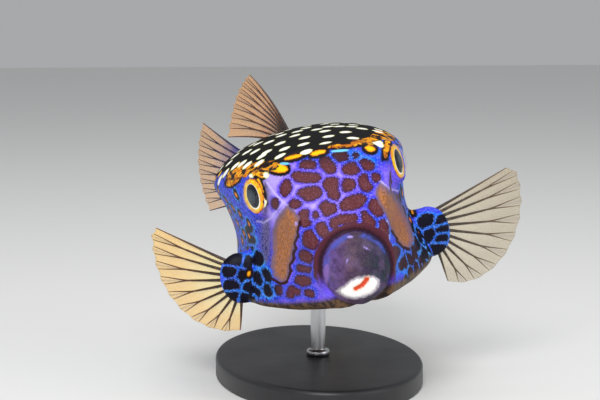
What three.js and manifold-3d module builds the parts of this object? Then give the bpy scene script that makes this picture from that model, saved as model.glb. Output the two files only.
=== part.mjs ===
// Male whitespotted boxfish, life size, swimming: held level and banked on a plain display stand.
// Millimetres, +Z up, the fish looks along -Y. The origin is the centre of the base's underside.
// The fish is drawn in a frame of its own: x to its left, y from snout to tail, z from belly to back,
// with y = 0 at the lips and z = 0 at the flat of the belly.

import * as THREE from 'three';
import { mergeVertices } from 'three/addons/utils/BufferGeometryUtils.js';
import Module from 'manifold-3d';

const wasm = await Module();
wasm.setup();

const vec = (x, y, z) => new THREE.Vector3(x, y, z);
const degrees = THREE.MathUtils.degToRad;
const lerp = THREE.MathUtils.lerp;
const smoothstep = THREE.MathUtils.smoothstep;

// Driving dimensions
const GAP = 0.3;
const BANK = degrees(-12.7);
const BELLY_HEIGHT = 27;
const BALANCE = { x: -5, y: 60 };
const BASE = { halfWidth: 30, halfLength: 45, thickness: 6, bevel: 1.2 };
const ROD = { radius: 2.2 };

const HEAD_START = 6.8;
const HEAD_END = 35;
const CARAPACE_END = 111;

const SNOUT = { y: 9.2, z: 14.3, halfWidth: 9.5, halfDepth: 8.7, halfHeight: 10.1 };
const LIPS = { y: 1.6, z: 10.2, halfWidth: 5.8, depth: 2.0, roll: 1.7, open: 0.5, slit: 2.7 };
const EYE = { x: 16.4, y: 29.3, z: 35.5, radius: 5.8, forward: degrees(31), orbit: 1.1, rimAt: 3.4, rimRadius: 5.0, rim: 0.85 };
const NOSTRIL = { x: 14.6, y: 20.2, z: 33.4, radius: 0.7, rim: 0.4 };
const GILL = { y: 36.8, low: 7.5, high: 19.5, width: 0.9, depth: 1.6 };
const LOBE = { x: 25.2, y: 42.4, z: 12.0, out: 8.2, halfHeight: 7.4, halfThickness: 2.8, square: 0.66 };

const FIN = { web: 0.29, ray: 0.55, edge: 0.25, rayShare: 0.2, scallop: 0.05 };

// The carapace from snout to tail stalk. ridge is the rounded edge between back and side,
// waist the hollow of the side, vent the edge between side and belly.
const CARAPACE = [
  { y: 6.0, crown: 23.8, ridgeX: 8.2, ridgeZ: 20.0, waistX: 10.0, ventX: 8.2, ventZ: 7.6, belly: 4.4 },
  { y: 9.5, crown: 29.0, ridgeX: 10.6, ridgeZ: 24.8, waistX: 11.4, ventX: 10.4, ventZ: 7.0, belly: 4.2 },
  { y: 14.0, crown: 36.0, ridgeX: 13.2, ridgeZ: 31.0, waistX: 13.2, ventX: 13.4, ventZ: 6.6, belly: 3.7 },
  { y: 18.5, crown: 42.4, ridgeX: 15.6, ridgeZ: 36.4, waistX: 14.8, ventX: 16.2, ventZ: 6.2, belly: 3.3 },
  { y: 22.0, crown: 44.8, ridgeX: 17.2, ridgeZ: 37.8, waistX: 16.2, ventX: 18.4, ventZ: 5.9, belly: 3.0 },
  { y: 28.0, crown: 45.4, ridgeX: 19.4, ridgeZ: 38.0, waistX: 18.4, ventX: 21.6, ventZ: 5.7, belly: 2.8 },
  { y: 36.0, crown: 46.0, ridgeX: 22.8, ridgeZ: 37.6, waistX: 21.2, ventX: 25.2, ventZ: 5.5, belly: 2.6 },
  { y: 48.0, crown: 46.7, ridgeX: 26.0, ridgeZ: 37.0, waistX: 23.6, ventX: 27.6, ventZ: 5.4, belly: 2.4 },
  { y: 63.0, crown: 46.8, ridgeX: 27.6, ridgeZ: 36.2, waistX: 24.6, ventX: 27.6, ventZ: 5.5, belly: 2.4 },
  { y: 78.0, crown: 45.7, ridgeX: 26.3, ridgeZ: 35.4, waistX: 23.2, ventX: 24.8, ventZ: 6.1, belly: 3.0 },
  { y: 90.0, crown: 43.2, ridgeX: 22.2, ridgeZ: 34.0, waistX: 19.6, ventX: 19.8, ventZ: 7.9, belly: 4.6 },
  { y: 100.0, crown: 39.2, ridgeX: 16.6, ridgeZ: 31.8, waistX: 15.0, ventX: 14.2, ventZ: 11.0, belly: 7.6 },
  { y: 107.0, crown: 35.6, ridgeX: 12.2, ridgeZ: 29.7, waistX: 11.6, ventX: 10.6, ventZ: 14.6, belly: 11.8 },
  { y: 111.0, crown: 33.0, ridgeX: 9.8, ridgeZ: 28.2, waistX: 9.6, ventX: 8.6, ventZ: 17.2, belly: 14.8 },
];

// Colours of the living fish and of the stand
const COLOURS = {
  back: 0x17120f,
  face: 0x6a5cc0,
  snout: 0x5b4f66,
  stalk: 0x1e3f7a,
  lobe: 0x2867cf,
  pectoral: 0xd9b36a,
  backFin: 0xb9793c,
  tailFin: 0x9a8a7a,
  eye: 0xe8a81c,
  base: 0x2b2b2d,
  rod: 0xb8bcc2,
};

// One dimension of the carapace at a given y, along a smooth curve through the stations
function along(key, y) {
  const last = CARAPACE.length - 1;
  let i = 0;
  while (i < last - 1 && y > CARAPACE[i + 1].y) i += 1;
  const a = CARAPACE[i];
  const b = CARAPACE[i + 1];
  const before = CARAPACE[Math.max(i - 1, 0)];
  const after = CARAPACE[Math.min(i + 2, last)];
  const span = b.y - a.y;
  const t = (y - a.y) / span;
  const slopeA = (b[key] - before[key]) / (b.y - before.y);
  const slopeB = (after[key] - a[key]) / (after.y - a.y);
  const t2 = t * t;
  const t3 = t2 * t;
  return (2 * t3 - 3 * t2 + 1) * a[key] + (t3 - 2 * t2 + t) * span * slopeA
    + (3 * t2 - 2 * t3) * b[key] + (t3 - t2) * span * slopeB;
}

// The closed outline of the carapace across the fish at a given y
function carapaceRing(y, points) {
  const s = {};
  for (const key of ['crown', 'ridgeX', 'ridgeZ', 'waistX', 'ventX', 'ventZ', 'belly']) s[key] = along(key, y);
  const rise = s.crown - s.ridgeZ;
  const wall = s.ridgeZ - s.ventZ;
  const sink = s.ventZ - s.belly;
  const half = [
    [0.34 * s.ridgeX, s.crown - 0.06 * rise],
    [0.66 * s.ridgeX, s.crown - 0.27 * rise],
    [0.89 * s.ridgeX, s.crown - 0.6 * rise],
    [s.ridgeX, s.ridgeZ],
    [lerp(s.ridgeX, s.waistX, 0.62), s.ridgeZ - 0.22 * wall],
    [s.waistX, s.ridgeZ - 0.52 * wall],
    [lerp(s.ventX, s.waistX, 0.4), s.ventZ + 0.2 * wall],
    [s.ventX, s.ventZ],
    [0.87 * s.ventX, s.belly + 0.3 * sink],
    [0.5 * s.ventX, s.belly + 0.04 * sink],
  ];
  const outline = [
    vec(0, y, s.crown),
    ...half.map(([x, z]) => vec(x, y, z)),
    vec(0, y, s.belly),
    ...half.map(([x, z]) => vec(-x, y, z)).reverse(),
  ];
  const curve = new THREE.CatmullRomCurve3(outline, true, 'centripetal');
  return Array.from({ length: points }, (_, i) => curve.getPoint(i / points));
}

// A closed skin over a row of rings, each end closed round its middle
function loft(rings) {
  const count = rings[0].length;
  const positions = rings.flatMap((ring) => ring.flatMap((p) => [p.x, p.y, p.z]));
  const index = [];
  for (let r = 0; r < rings.length - 1; r += 1) {
    for (let c = 0; c < count; c += 1) {
      const a = r * count + c;
      const b = r * count + (c + 1) % count;
      index.push(a, b, b + count, a, b + count, a + count);
    }
  }
  for (const [row, flip] of [[0, false], [rings.length - 1, true]]) {
    const middle = rings[row].reduce((sum, p) => sum.add(p), vec(0, 0, 0)).divideScalar(count);
    const hub = positions.length / 3;
    positions.push(middle.x, middle.y, middle.z);
    for (let c = 0; c < count; c += 1) {
      const a = row * count + c;
      const b = row * count + (c + 1) % count;
      index.push(...(flip ? [hub, a, b] : [hub, b, a]));
    }
  }
  return outward(indexed(positions, index));
}

function indexed(positions, index) {
  const geometry = new THREE.BufferGeometry();
  geometry.setAttribute('position', new THREE.Float32BufferAttribute(positions, 3));
  geometry.setIndex(index);
  return geometry;
}

// Turns every face over if the closed surface has its faces pointing in
function outward(geometry) {
  const p = geometry.attributes.position;
  const index = geometry.index.array;
  const corner = [vec(), vec(), vec()];
  let volume = 0;
  for (let i = 0; i < index.length; i += 3) {
    corner.forEach((v, k) => v.fromBufferAttribute(p, index[i + k]));
    volume += corner[0].dot(corner[1].clone().cross(corner[2]));
  }
  if (volume < 0) {
    for (let i = 0; i < index.length; i += 3) [index[i + 1], index[i + 2]] = [index[i + 2], index[i + 1]];
  }
  return geometry;
}

// Merges shared vertices and drops triangles with no area
function welded(source) {
  const geometry = source.clone();
  geometry.deleteAttribute('normal');
  geometry.deleteAttribute('uv');
  const merged = mergeVertices(geometry, 1e-4);
  const kept = [];
  const index = merged.index.array;
  for (let i = 0; i < index.length; i += 3) {
    const [a, b, c] = index.slice(i, i + 3);
    if (a !== b && b !== c && c !== a) kept.push(a, b, c);
  }
  merged.setIndex(kept);
  return merged;
}

function solid(geometry) {
  const merged = welded(geometry);
  return new wasm.Manifold(new wasm.Mesh({
    numProp: 3,
    vertProperties: new Float32Array(merged.attributes.position.array),
    triVerts: new Uint32Array(merged.index.array),
  }));
}

// The largest closed body of a solid, as a geometry
function body(manifold) {
  const pieces = manifold.decompose();
  const largest = pieces.reduce((a, b) => (b.volume() > a.volume() ? b : a));
  const mesh = largest.getMesh();
  return indexed(Array.from(mesh.vertProperties), Array.from(mesh.triVerts));
}

// A piece cut clear of what it grows from, which is moved towards it by the gap
function meet(child, parent, towards) {
  const step = towards.clone().normalize().multiplyScalar(GAP);
  return child.subtract(parent.translate([step.x, step.y, step.z]));
}

function ellipsoid(centre, radii, columns, rows) {
  const geometry = new THREE.SphereGeometry(1, columns, rows);
  geometry.rotateX(Math.PI / 2);
  geometry.scale(radii.x, radii.y, radii.z);
  geometry.translate(centre.x, centre.y, centre.z);
  return geometry;
}

// All the space ahead of a plane across the fish
function aheadOf(y) {
  const size = 200;
  return solid(new THREE.BoxGeometry(size, size, size).translate(0, y - size / 2, 0));
}

// A ring that faces along a direction
function ring(centre, direction, radius, thickness, around, across) {
  const geometry = new THREE.TorusGeometry(radius, thickness, across, around);
  const turn = new THREE.Quaternion().setFromUnitVectors(vec(0, 0, 1), direction.clone().normalize());
  return geometry.applyQuaternion(turn).translate(centre.x, centre.y, centre.z);
}

function ringsBetween(start, end, count, points) {
  return Array.from({ length: count }, (_, i) => carapaceRing(lerp(start, end, i / (count - 1)), points));
}

// A fin: a membrane from foot(u) to tip(u), with rays as ridges in its own surface on both faces.
// Both faces share one grid, so they are split into triangles alike.
function fin({ rays, rows, foot, tip, bow }) {
  const columns = [];
  for (let i = 0; i < rays - 1; i += 1) {
    for (const [step, ridge] of [[0, 1], [FIN.rayShare, 0], [0.5, 0], [1 - FIN.rayShare, 0]]) {
      columns.push({ u: (i + step) / (rays - 1), ridge });
    }
  }
  columns.push({ u: 1, ridge: 1 });

  const surface = (u, v) => {
    const between = Math.abs(Math.sin(Math.PI * (rays - 1) * u));
    const reach = v * (1 - FIN.scallop * between * between);
    return foot(u).lerp(tip(u), reach).addScaledVector(bow, reach * (1 - reach));
  };
  const step = 0.01;
  const normal = (u, v) => {
    const across = surface(Math.min(u + step, 1), v).sub(surface(Math.max(u - step, 0), v));
    const outwards = surface(u, Math.min(v + step, 1)).sub(surface(u, Math.max(v - step, 0)));
    return across.cross(outwards).normalize();
  };

  const faces = [1, -1].map((side) => columns.map(({ u, ridge }) => Array.from({ length: rows + 1 }, (_, r) => {
    const v = r / rows;
    const half = lerp(ridge ? FIN.ray : FIN.web, FIN.edge, ridge ? v * v : v);
    return surface(u, v).addScaledVector(normal(u, Math.max(v, 0.05)), side * half);
  })));
  const positions = faces.flat(2).flatMap((p) => [p.x, p.y, p.z]);
  const at = (face, c, r) => (face * columns.length + c) * (rows + 1) + r;
  const index = [];
  const quad = (a, b, c, d) => index.push(a, b, c, a, c, d);
  for (let c = 0; c < columns.length - 1; c += 1) {
    for (let r = 0; r < rows; r += 1) {
      quad(at(0, c, r), at(0, c + 1, r), at(0, c + 1, r + 1), at(0, c, r + 1));
      index.push(at(1, c, r), at(1, c + 1, r + 1), at(1, c + 1, r));
      index.push(at(1, c, r), at(1, c, r + 1), at(1, c + 1, r + 1));
    }
    quad(at(1, c, 0), at(1, c + 1, 0), at(0, c + 1, 0), at(0, c, 0));
    quad(at(0, c, rows), at(0, c + 1, rows), at(1, c + 1, rows), at(1, c, rows));
  }
  const last = columns.length - 1;
  for (let r = 0; r < rows; r += 1) {
    quad(at(0, 0, r), at(0, 0, r + 1), at(1, 0, r + 1), at(1, 0, r));
    quad(at(1, last, r), at(1, last, r + 1), at(0, last, r + 1), at(0, last, r));
  }
  return outward(indexed(positions, index));
}

// The bony box, cut into head and trunk in front of the gill slits
const RING_POINTS = 44;
const headShell = solid(loft(ringsBetween(HEAD_START, HEAD_END - GAP / 2, 13, RING_POINTS)));
const trunkShell = solid(loft(ringsBetween(HEAD_END + GAP / 2, CARAPACE_END, 21, RING_POINTS)));

const bothSides = [1, -1];
const eyeDirection = (side) => vec(side * Math.cos(EYE.forward), -Math.sin(EYE.forward), 0.08);
const eyeBall = (side, extra) => solid(ellipsoid(
  vec(side * EYE.x, EYE.y, EYE.z),
  vec(EYE.radius + extra, EYE.radius + extra, EYE.radius + extra),
  20,
  13,
));

// The bulge of the head round an eye, cut off square where the rim stands
function makeOrbit(side, out) {
  const size = 20;
  const cut = new THREE.BoxGeometry(size, size, size).translate(0, 0, size / 2 + EYE.rimAt);
  cut.applyQuaternion(new THREE.Quaternion().setFromUnitVectors(vec(0, 0, 1), out));
  cut.translate(side * EYE.x, EYE.y, EYE.z);
  return eyeBall(side, EYE.orbit).subtract(solid(cut));
}

function makeHead() {
  let head = headShell;
  for (const side of bothSides) {
    const out = eyeDirection(side).normalize();
    head = head.add(makeOrbit(side, out));
    const rimCentre = vec(side * EYE.x, EYE.y, EYE.z).addScaledVector(out, EYE.rimAt);
    head = head.add(solid(ring(rimCentre, out, EYE.rimRadius, EYE.rim, 24, 8)));
    const nostril = vec(side * NOSTRIL.x, NOSTRIL.y, NOSTRIL.z);
    const ahead = vec(side * 0.55, -0.75, 0.35);
    head = head.add(solid(ring(nostril, ahead, NOSTRIL.radius, NOSTRIL.rim, 12, 6)));
  }
  for (const side of bothSides) head = head.subtract(eyeBall(side, GAP));
  return head.intersect(aheadOf(HEAD_END - GAP / 2));
}

// The soft snout in front of the carapace, with both lips and the slit of the mouth
function makeSnout() {
  const dome = solid(ellipsoid(
    vec(0, SNOUT.y, SNOUT.z),
    vec(SNOUT.halfWidth, SNOUT.halfDepth, SNOUT.halfHeight),
    32,
    18,
  ));
  let snout = dome;
  for (const side of bothSides) {
    const lip = vec(0, LIPS.y, LIPS.z + side * (LIPS.roll * 0.72 + LIPS.open / 2));
    snout = snout.add(solid(ellipsoid(lip, vec(LIPS.halfWidth, LIPS.depth, LIPS.roll), 20, 10)));
  }
  const slit = ellipsoid(vec(0, 0, LIPS.z), vec(LIPS.slit, 2.6, LIPS.open), 20, 8);
  return snout.subtract(solid(slit)).intersect(aheadOf(HEAD_START - GAP));
}

function makeTrunk() {
  let trunk = trunkShell;
  for (const side of bothSides) {
    const middle = (GILL.low + GILL.high) / 2;
    const wall = side * (along('waistX', GILL.y) + 0.3);
    const slit = ellipsoid(
      vec(wall, GILL.y, middle),
      vec(GILL.depth, GILL.width / 2, (GILL.high - GILL.low) / 2),
      10,
      14,
    );
    trunk = trunk.subtract(solid(slit));
  }
  return trunk;
}

// The fleshy lobe that carries a pectoral fin
function makeLobe(side) {
  const lobe = new THREE.SphereGeometry(1, 20, 16).rotateX(Math.PI / 2);
  const p = lobe.attributes.position;
  for (let i = 0; i < p.count; i += 1) p.setX(i, Math.sign(p.getX(i)) * Math.abs(p.getX(i)) ** LOBE.square);
  lobe.scale(LOBE.out, LOBE.halfThickness, LOBE.halfHeight);
  return solid(lobe.translate(side * LOBE.x, LOBE.y, LOBE.z));
}

// Pectoral fins, each at its own point of the stroke
const PECTORALS = {
  left: { side: 1, top: degrees(13), bottom: degrees(-84), bend: 1.5, reach: 27.4, fall: 0.67, curve: 1.7, lean: 0.3 },
  right: { side: -1, top: degrees(36), bottom: degrees(-76), bend: 1.5, reach: 22.6, fall: 0.62, curve: 0.95, lean: 0.62 },
};

function makePectoral({ side, top, bottom, bend, reach, fall, curve, lean }) {
  const foot = (u) => {
    const turn = lerp(degrees(56), degrees(-70), u);
    const x = LOBE.x + (LOBE.out - 0.8) * Math.cos(turn) ** LOBE.square;
    return vec(side * x, LOBE.y, LOBE.z + (LOBE.halfHeight - 0.6) * Math.sin(turn));
  };
  const tip = (u) => {
    const angle = lerp(top, bottom, u ** bend);
    const first = 0.93 + 0.07 * Math.min(1, u / 0.1);
    const length = reach * first * (1 - fall * u ** curve);
    const across = length * Math.cos(angle);
    return foot(u).add(vec(side * across, lean * Math.abs(across), length * Math.sin(angle)));
  };
  return fin({ rays: 11, rows: 7, foot, tip, bow: vec(0, -1.4, 0) });
}

// A fin on the midline, from its foot on the carapace to a margin curved through three points
function makeMidFin({ rays, footStart, footEnd, margin, bow }) {
  const edge = new THREE.QuadraticBezierCurve3(...margin);
  return fin({
    rays,
    rows: 7,
    foot: (u) => footStart.clone().lerp(footEnd, u),
    tip: (u) => edge.getPoint(u),
    bow,
  });
}

// The bent tail stalk and the tail fin that follows its end
const STALK = new THREE.CubicBezierCurve3(
  vec(0, CARAPACE_END + GAP, 24.6),
  vec(0, 116.5, 24.6),
  vec(-5, 119.5, 26.4),
  vec(-11.5, 125, 28),
);
const STALK_SIZE = { startWidth: 6.6, startHeight: 7.8, narrow: 6.4, endWidth: 1.5, endHeight: 7.4 };
const TAIL = { rays: 10, length: 22.5, topRise: 17.2, lowDrop: 13.6, round: 3.4 };

function makeStalk() {
  const steps = 12;
  const rings = [];
  for (let i = 0; i <= steps; i += 1) {
    const t = i / steps;
    const centre = STALK.getPoint(t);
    const ahead = STALK.getTangent(t);
    const across = vec(ahead.y, -ahead.x, 0).normalize();
    const up = across.clone().cross(ahead).normalize();
    const halfWidth = lerp(STALK_SIZE.startWidth, STALK_SIZE.endWidth, smoothstep(t, 0, 1));
    const ends = lerp(STALK_SIZE.startHeight, STALK_SIZE.endHeight, t);
    const halfHeight = lerp(ends, STALK_SIZE.narrow, Math.sin(Math.PI * t));
    rings.push(Array.from({ length: 24 }, (_, k) => {
      const turn = (2 * Math.PI * k) / 24;
      return centre.clone()
        .addScaledVector(across, halfWidth * Math.cos(turn))
        .addScaledVector(up, halfHeight * Math.sin(turn));
    }));
  }
  return loft(rings);
}

function makeTail() {
  const root = STALK.getPoint(1);
  const ahead = STALK.getTangent(1);
  const across = vec(ahead.y, -ahead.x, 0).normalize();
  const up = across.clone().cross(ahead).normalize();
  const start = root.clone().addScaledVector(ahead, GAP);
  const foot = (u) => start.clone().addScaledVector(up, STALK_SIZE.endHeight * 0.94 * (1 - 2 * u));
  const tip = (u) => {
    const height = lerp(TAIL.topRise, -TAIL.lowDrop, u);
    const length = TAIL.length - TAIL.round * (2 * u - 1) ** 2;
    return start.clone().addScaledVector(ahead, length).addScaledVector(up, height).add(vec(1.2, 2.4, 0));
  };
  return fin({ rays: TAIL.rays, rows: 7, foot, tip, bow: vec(-1.2, -1.2, 0) });
}

const DORSAL = {
  rays: 9,
  footStart: vec(0, 88.6, along('crown', 88.6) - 0.6),
  footEnd: vec(0, 98.2, along('crown', 98.2) - 0.6),
  margin: [vec(-7.4, 96.5, 63.4), vec(-12.5, 103, 60), vec(-17.8, 105.5, 45)],
  bow: vec(3, 0, 3),
};
const ANAL = {
  rays: 9,
  footStart: vec(0, 93.5, along('belly', 93.5) + 0.6),
  footEnd: vec(0, 102.5, along('belly', 102.5) + 0.6),
  margin: [vec(4.5, 101.5, -13.5), vec(10, 112, -11), vec(12.5, 114.5, 3)],
  bow: vec(-2.5, 0, -2),
};

// The scene graph
const part = new THREE.Group();
const fish = new THREE.Group();
fish.rotation.y = BANK;
const balance = vec(BALANCE.x, BALANCE.y, 0);
fish.position.set(-balance.x, -balance.y, BELLY_HEIGHT);
part.add(fish);

function place(parent, name, geometry, colour, roughness = 0.45, metalness = 0) {
  const material = new THREE.MeshStandardMaterial({ color: colour, roughness, metalness });
  const mesh = new THREE.Mesh(geometry, material);
  mesh.name = name;
  parent.add(mesh);
  return mesh;
}

const trunk = makeTrunk();
const stalk = makeStalk();
place(fish, 'head', body(makeHead()), COLOURS.face);
place(fish, 'snout', body(makeSnout()), COLOURS.snout, 0.3);
place(fish, 'body', body(trunk), COLOURS.back);
place(fish, 'tail_stalk', stalk, COLOURS.stalk);
place(fish, 'tail_fin', makeTail(), COLOURS.tailFin, 0.5);

const dorsal = meet(solid(makeMidFin(DORSAL)), trunkShell, vec(0, 0.4, 1));
const anal = meet(solid(makeMidFin(ANAL)), trunkShell, vec(0, 0.5, -1));
place(fish, 'dorsal_fin', body(dorsal), COLOURS.backFin, 0.5);
place(fish, 'anal_fin', body(anal), COLOURS.backFin, 0.5);

for (const name of ['left', 'right']) {
  const pose = PECTORALS[name];
  const out = vec(pose.side, 0, 0);
  const lobe = makeLobe(pose.side);
  const pectoral = meet(meet(solid(makePectoral(pose)), lobe, out), trunkShell, out);
  const rooted = meet(lobe, trunkShell, out);
  place(fish, `pectoral_base_${name}`, body(rooted), COLOURS.lobe);
  place(fish, `pectoral_fin_${name}`, body(pectoral), COLOURS.pectoral, 0.5);
  place(fish, `eye_${name}`, body(eyeBall(pose.side, 0)), COLOURS.eye, 0.08);
}

// The stand: an oval base, a collar and one rod whose top is cut to the belly
function oval(halfWidth, halfLength, thickness, bevel) {
  const profile = [
    new THREE.Vector2(0, 0),
    new THREE.Vector2(1, 0),
    new THREE.Vector2(1, (thickness - bevel) / thickness),
    new THREE.Vector2(1 - bevel / halfWidth, 1),
    new THREE.Vector2(0, 1),
  ];
  const disc = new THREE.LatheGeometry(profile, 72);
  disc.rotateX(Math.PI / 2);
  disc.scale(halfWidth, halfLength, thickness);
  return outward(welded(disc));
}

function makeRod() {
  const height = BELLY_HEIGHT + 12;
  const rod = new THREE.CylinderGeometry(ROD.radius, ROD.radius, height, 32);
  rod.rotateX(Math.PI / 2);
  rod.translate(0, 0, BASE.thickness + GAP + height / 2);
  fish.updateMatrixWorld(true);
  const belly = new THREE.BufferGeometry().copy(loft(ringsBetween(HEAD_END, CARAPACE_END, 22, RING_POINTS)));
  belly.applyMatrix4(fish.matrixWorld);
  return meet(solid(rod), solid(belly), vec(Math.sin(BANK), 0, Math.cos(BANK)).negate());
}

place(part, 'stand_base', oval(BASE.halfWidth, BASE.halfLength, BASE.thickness, BASE.bevel), COLOURS.base, 0.5);
place(part, 'stand_rod', body(makeRod()), COLOURS.rod, 0.3, 1);

export default part;
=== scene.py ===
"""Male whitespotted boxfish on a display stand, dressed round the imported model.

The fish is worked out in a frame of its own, in millimetres: x to its left, y from snout to tail,
z from belly to back, with y = 0 at the lips. to_part() takes it to the part's frame in metres.
"""

import math

import bmesh
import bpy
import numpy as np
from mathutils import Matrix, Vector
from mathutils.bvhtree import BVHTree
from mathutils.kdtree import KDTree


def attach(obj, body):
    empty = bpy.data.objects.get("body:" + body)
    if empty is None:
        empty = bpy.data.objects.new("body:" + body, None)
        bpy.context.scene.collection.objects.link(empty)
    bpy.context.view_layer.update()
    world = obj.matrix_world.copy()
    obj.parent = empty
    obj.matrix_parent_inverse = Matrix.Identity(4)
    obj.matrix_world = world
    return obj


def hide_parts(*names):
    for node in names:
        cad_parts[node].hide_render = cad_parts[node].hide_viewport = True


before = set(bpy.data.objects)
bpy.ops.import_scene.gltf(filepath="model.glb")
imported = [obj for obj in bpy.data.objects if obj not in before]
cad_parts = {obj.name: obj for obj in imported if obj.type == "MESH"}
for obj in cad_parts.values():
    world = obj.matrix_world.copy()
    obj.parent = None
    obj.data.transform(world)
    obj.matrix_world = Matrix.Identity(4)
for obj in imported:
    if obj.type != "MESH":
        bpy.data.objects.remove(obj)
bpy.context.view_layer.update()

MM = 0.001

# How the fish is held, as in the part's source
BANK = math.radians(-12.7)
BELLY_HEIGHT = 27.0
BALANCE = (-5.0, 60.0)

# The photograph's camera, solved from the places of the eyes, lips, fin roots and corners of the box
PHOTO = (600, 400)
VIEW_ANGLE = math.radians(22.0)
VIEW_TURN = math.radians(7.99)
VIEW_DOWN = math.radians(7.01)
FISH_FROM_CAMERA = np.array([18.6, 394.56, -32.05])

# The carapace from snout to tail stalk, as in the part's source
KEYS = ("y", "crown", "ridge_x", "ridge_z", "waist_x", "vent_x", "vent_z", "belly")
CARAPACE = np.array([
    (6.0, 23.8, 8.2, 20.0, 10.0, 8.2, 7.6, 4.4),
    (9.5, 29.0, 10.6, 24.8, 11.4, 10.4, 7.0, 4.2),
    (14.0, 36.0, 13.2, 31.0, 13.2, 13.4, 6.6, 3.7),
    (18.5, 42.4, 15.6, 36.4, 14.8, 16.2, 6.2, 3.3),
    (22.0, 44.8, 17.2, 37.8, 16.2, 18.4, 5.9, 3.0),
    (28.0, 45.4, 19.4, 38.0, 18.4, 21.6, 5.7, 2.8),
    (36.0, 46.0, 22.8, 37.6, 21.2, 25.2, 5.5, 2.6),
    (48.0, 46.7, 26.0, 37.0, 23.6, 27.6, 5.4, 2.4),
    (63.0, 46.8, 27.6, 36.2, 24.6, 27.6, 5.5, 2.4),
    (78.0, 45.7, 26.3, 35.4, 23.2, 24.8, 6.1, 3.0),
    (90.0, 43.2, 22.2, 34.0, 19.6, 19.8, 7.9, 4.6),
    (100.0, 39.2, 16.6, 31.8, 15.0, 14.2, 11.0, 7.6),
    (107.0, 35.6, 12.2, 29.7, 11.6, 10.6, 14.6, 11.8),
    (111.0, 33.0, 9.8, 28.2, 9.6, 8.6, 17.2, 14.8),
])
HEAD_START = 6.8
CARAPACE_END = 111.0
SNOUT = {"centre": (0, 9.2, 14.3), "radii": (9.5, 8.7, 10.1)}
LIPS = {"centre": (0.2, 2.1, 10.0), "radii": (6.3, 2.1, 3.3)}
EYE = {"centre": (16.4, 29.3, 35.5), "radius": 5.8, "forward": math.radians(28), "up": 0.08}
ORBIT = {"radius": 6.9, "cut": 3.95, "rim_at": 4.05, "rim_radius": 5.3, "rim": 0.45}
LOBE = {"centre": (25.2, 42.4, 12.0), "out": 8.2, "half_height": 7.4, "half_thickness": 2.8, "square": 0.66}
STALK_PATH = ((0, 108.0, 24.6), (0, 116.5, 24.6), (-5, 119.5, 26.4), (-11.5, 125, 28))
STALK_SIZE = {"start_width": 6.6, "start_height": 7.8, "narrow": 6.4, "end_width": 1.5, "end_height": 7.4}
BASE = {"half_width": 30.0, "half_length": 45.0, "thickness": 6.0, "bevel": 1.2}
ROD = {"radius": 2.2, "into_belly": 4.5}

VOXEL = 0.36
MARK_SEED, RELIEF_SEED = 7, 11
SIDES = {"left": 1, "right": -1}
COS_BANK, SIN_BANK = math.cos(BANK), math.sin(BANK)
TURN = np.array([[COS_BANK, 0, SIN_BANK], [0, 1, 0], [-SIN_BANK, 0, COS_BANK]])
OFFSET = np.array([-BALANCE[0], -BALANCE[1], BELLY_HEIGHT])


def to_part(points):
    """Points of the fish's frame, in millimetres, as points of the part's frame, in metres."""
    return (np.asarray(points, float) @ TURN.T + OFFSET) * MM


def lerp(a, b, t):
    return a + (b - a) * t


def smooth(t):
    t = np.clip(t, 0, 1)
    return t * t * (3 - 2 * t)


def bell(distance, width):
    return np.exp(-(distance / width) ** 2)


def unit(vector):
    return vector / np.linalg.norm(vector)


def circle(steps):
    turn = 2 * math.pi * np.arange(steps) / steps
    return np.cos(turn), np.sin(turn)


def arc(radius, start, end, steps):
    """Points of a lathe's profile on a circle round its centre, from one angle to another."""
    return [(radius * math.cos(a), radius * math.sin(a)) for a in np.linspace(start, end, steps)]


def along(key, y):
    """One dimension of the carapace at a given y, along a smooth curve through the stations."""
    ys = CARAPACE[:, 0]
    values = CARAPACE[:, KEYS.index(key)]
    last = len(ys) - 1
    i = int(np.clip(np.searchsorted(ys, y, side="left") - 1, 0, last - 1))
    before, after = max(i - 1, 0), min(i + 2, last)
    span = ys[i + 1] - ys[i]
    t = (y - ys[i]) / span
    slope_a = (values[i + 1] - values[before]) / (ys[i + 1] - ys[before])
    slope_b = (values[after] - values[i]) / (ys[after] - ys[i])
    h = (2 * t ** 3 - 3 * t ** 2 + 1, t ** 3 - 2 * t ** 2 + t, 3 * t ** 2 - 2 * t ** 3, t ** 3 - t ** 2)
    return h[0] * values[i] + h[1] * span * slope_a + h[2] * values[i + 1] + h[3] * span * slope_b


def closed_curve(points, steps):
    """A centripetal Catmull-Rom curve through a closed row of points."""
    p1 = np.asarray(points, float)
    p0, p2, p3 = np.roll(p1, 1, 0), np.roll(p1, -1, 0), np.roll(p1, -2, 0)
    spans = ((p0, p1), (p1, p2), (p2, p3))
    d0, d1, d2 = (np.sqrt(np.linalg.norm(b - a, axis=1))[:, None] for a, b in spans)
    t1 = ((p1 - p0) / d0 - (p2 - p0) / (d0 + d1) + (p2 - p1) / d1) * d1
    t2 = ((p2 - p1) / d1 - (p3 - p1) / (d1 + d2) + (p3 - p2) / d2) * d1
    out = []
    for t in np.arange(steps) / steps:
        out.append(p1 + t1 * t + (3 * (p2 - p1) - 2 * t1 - t2) * t ** 2 + (2 * (p1 - p2) + t1 + t2) * t ** 3)
    return np.stack(out, 1).reshape(-1, p1.shape[1])


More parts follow.
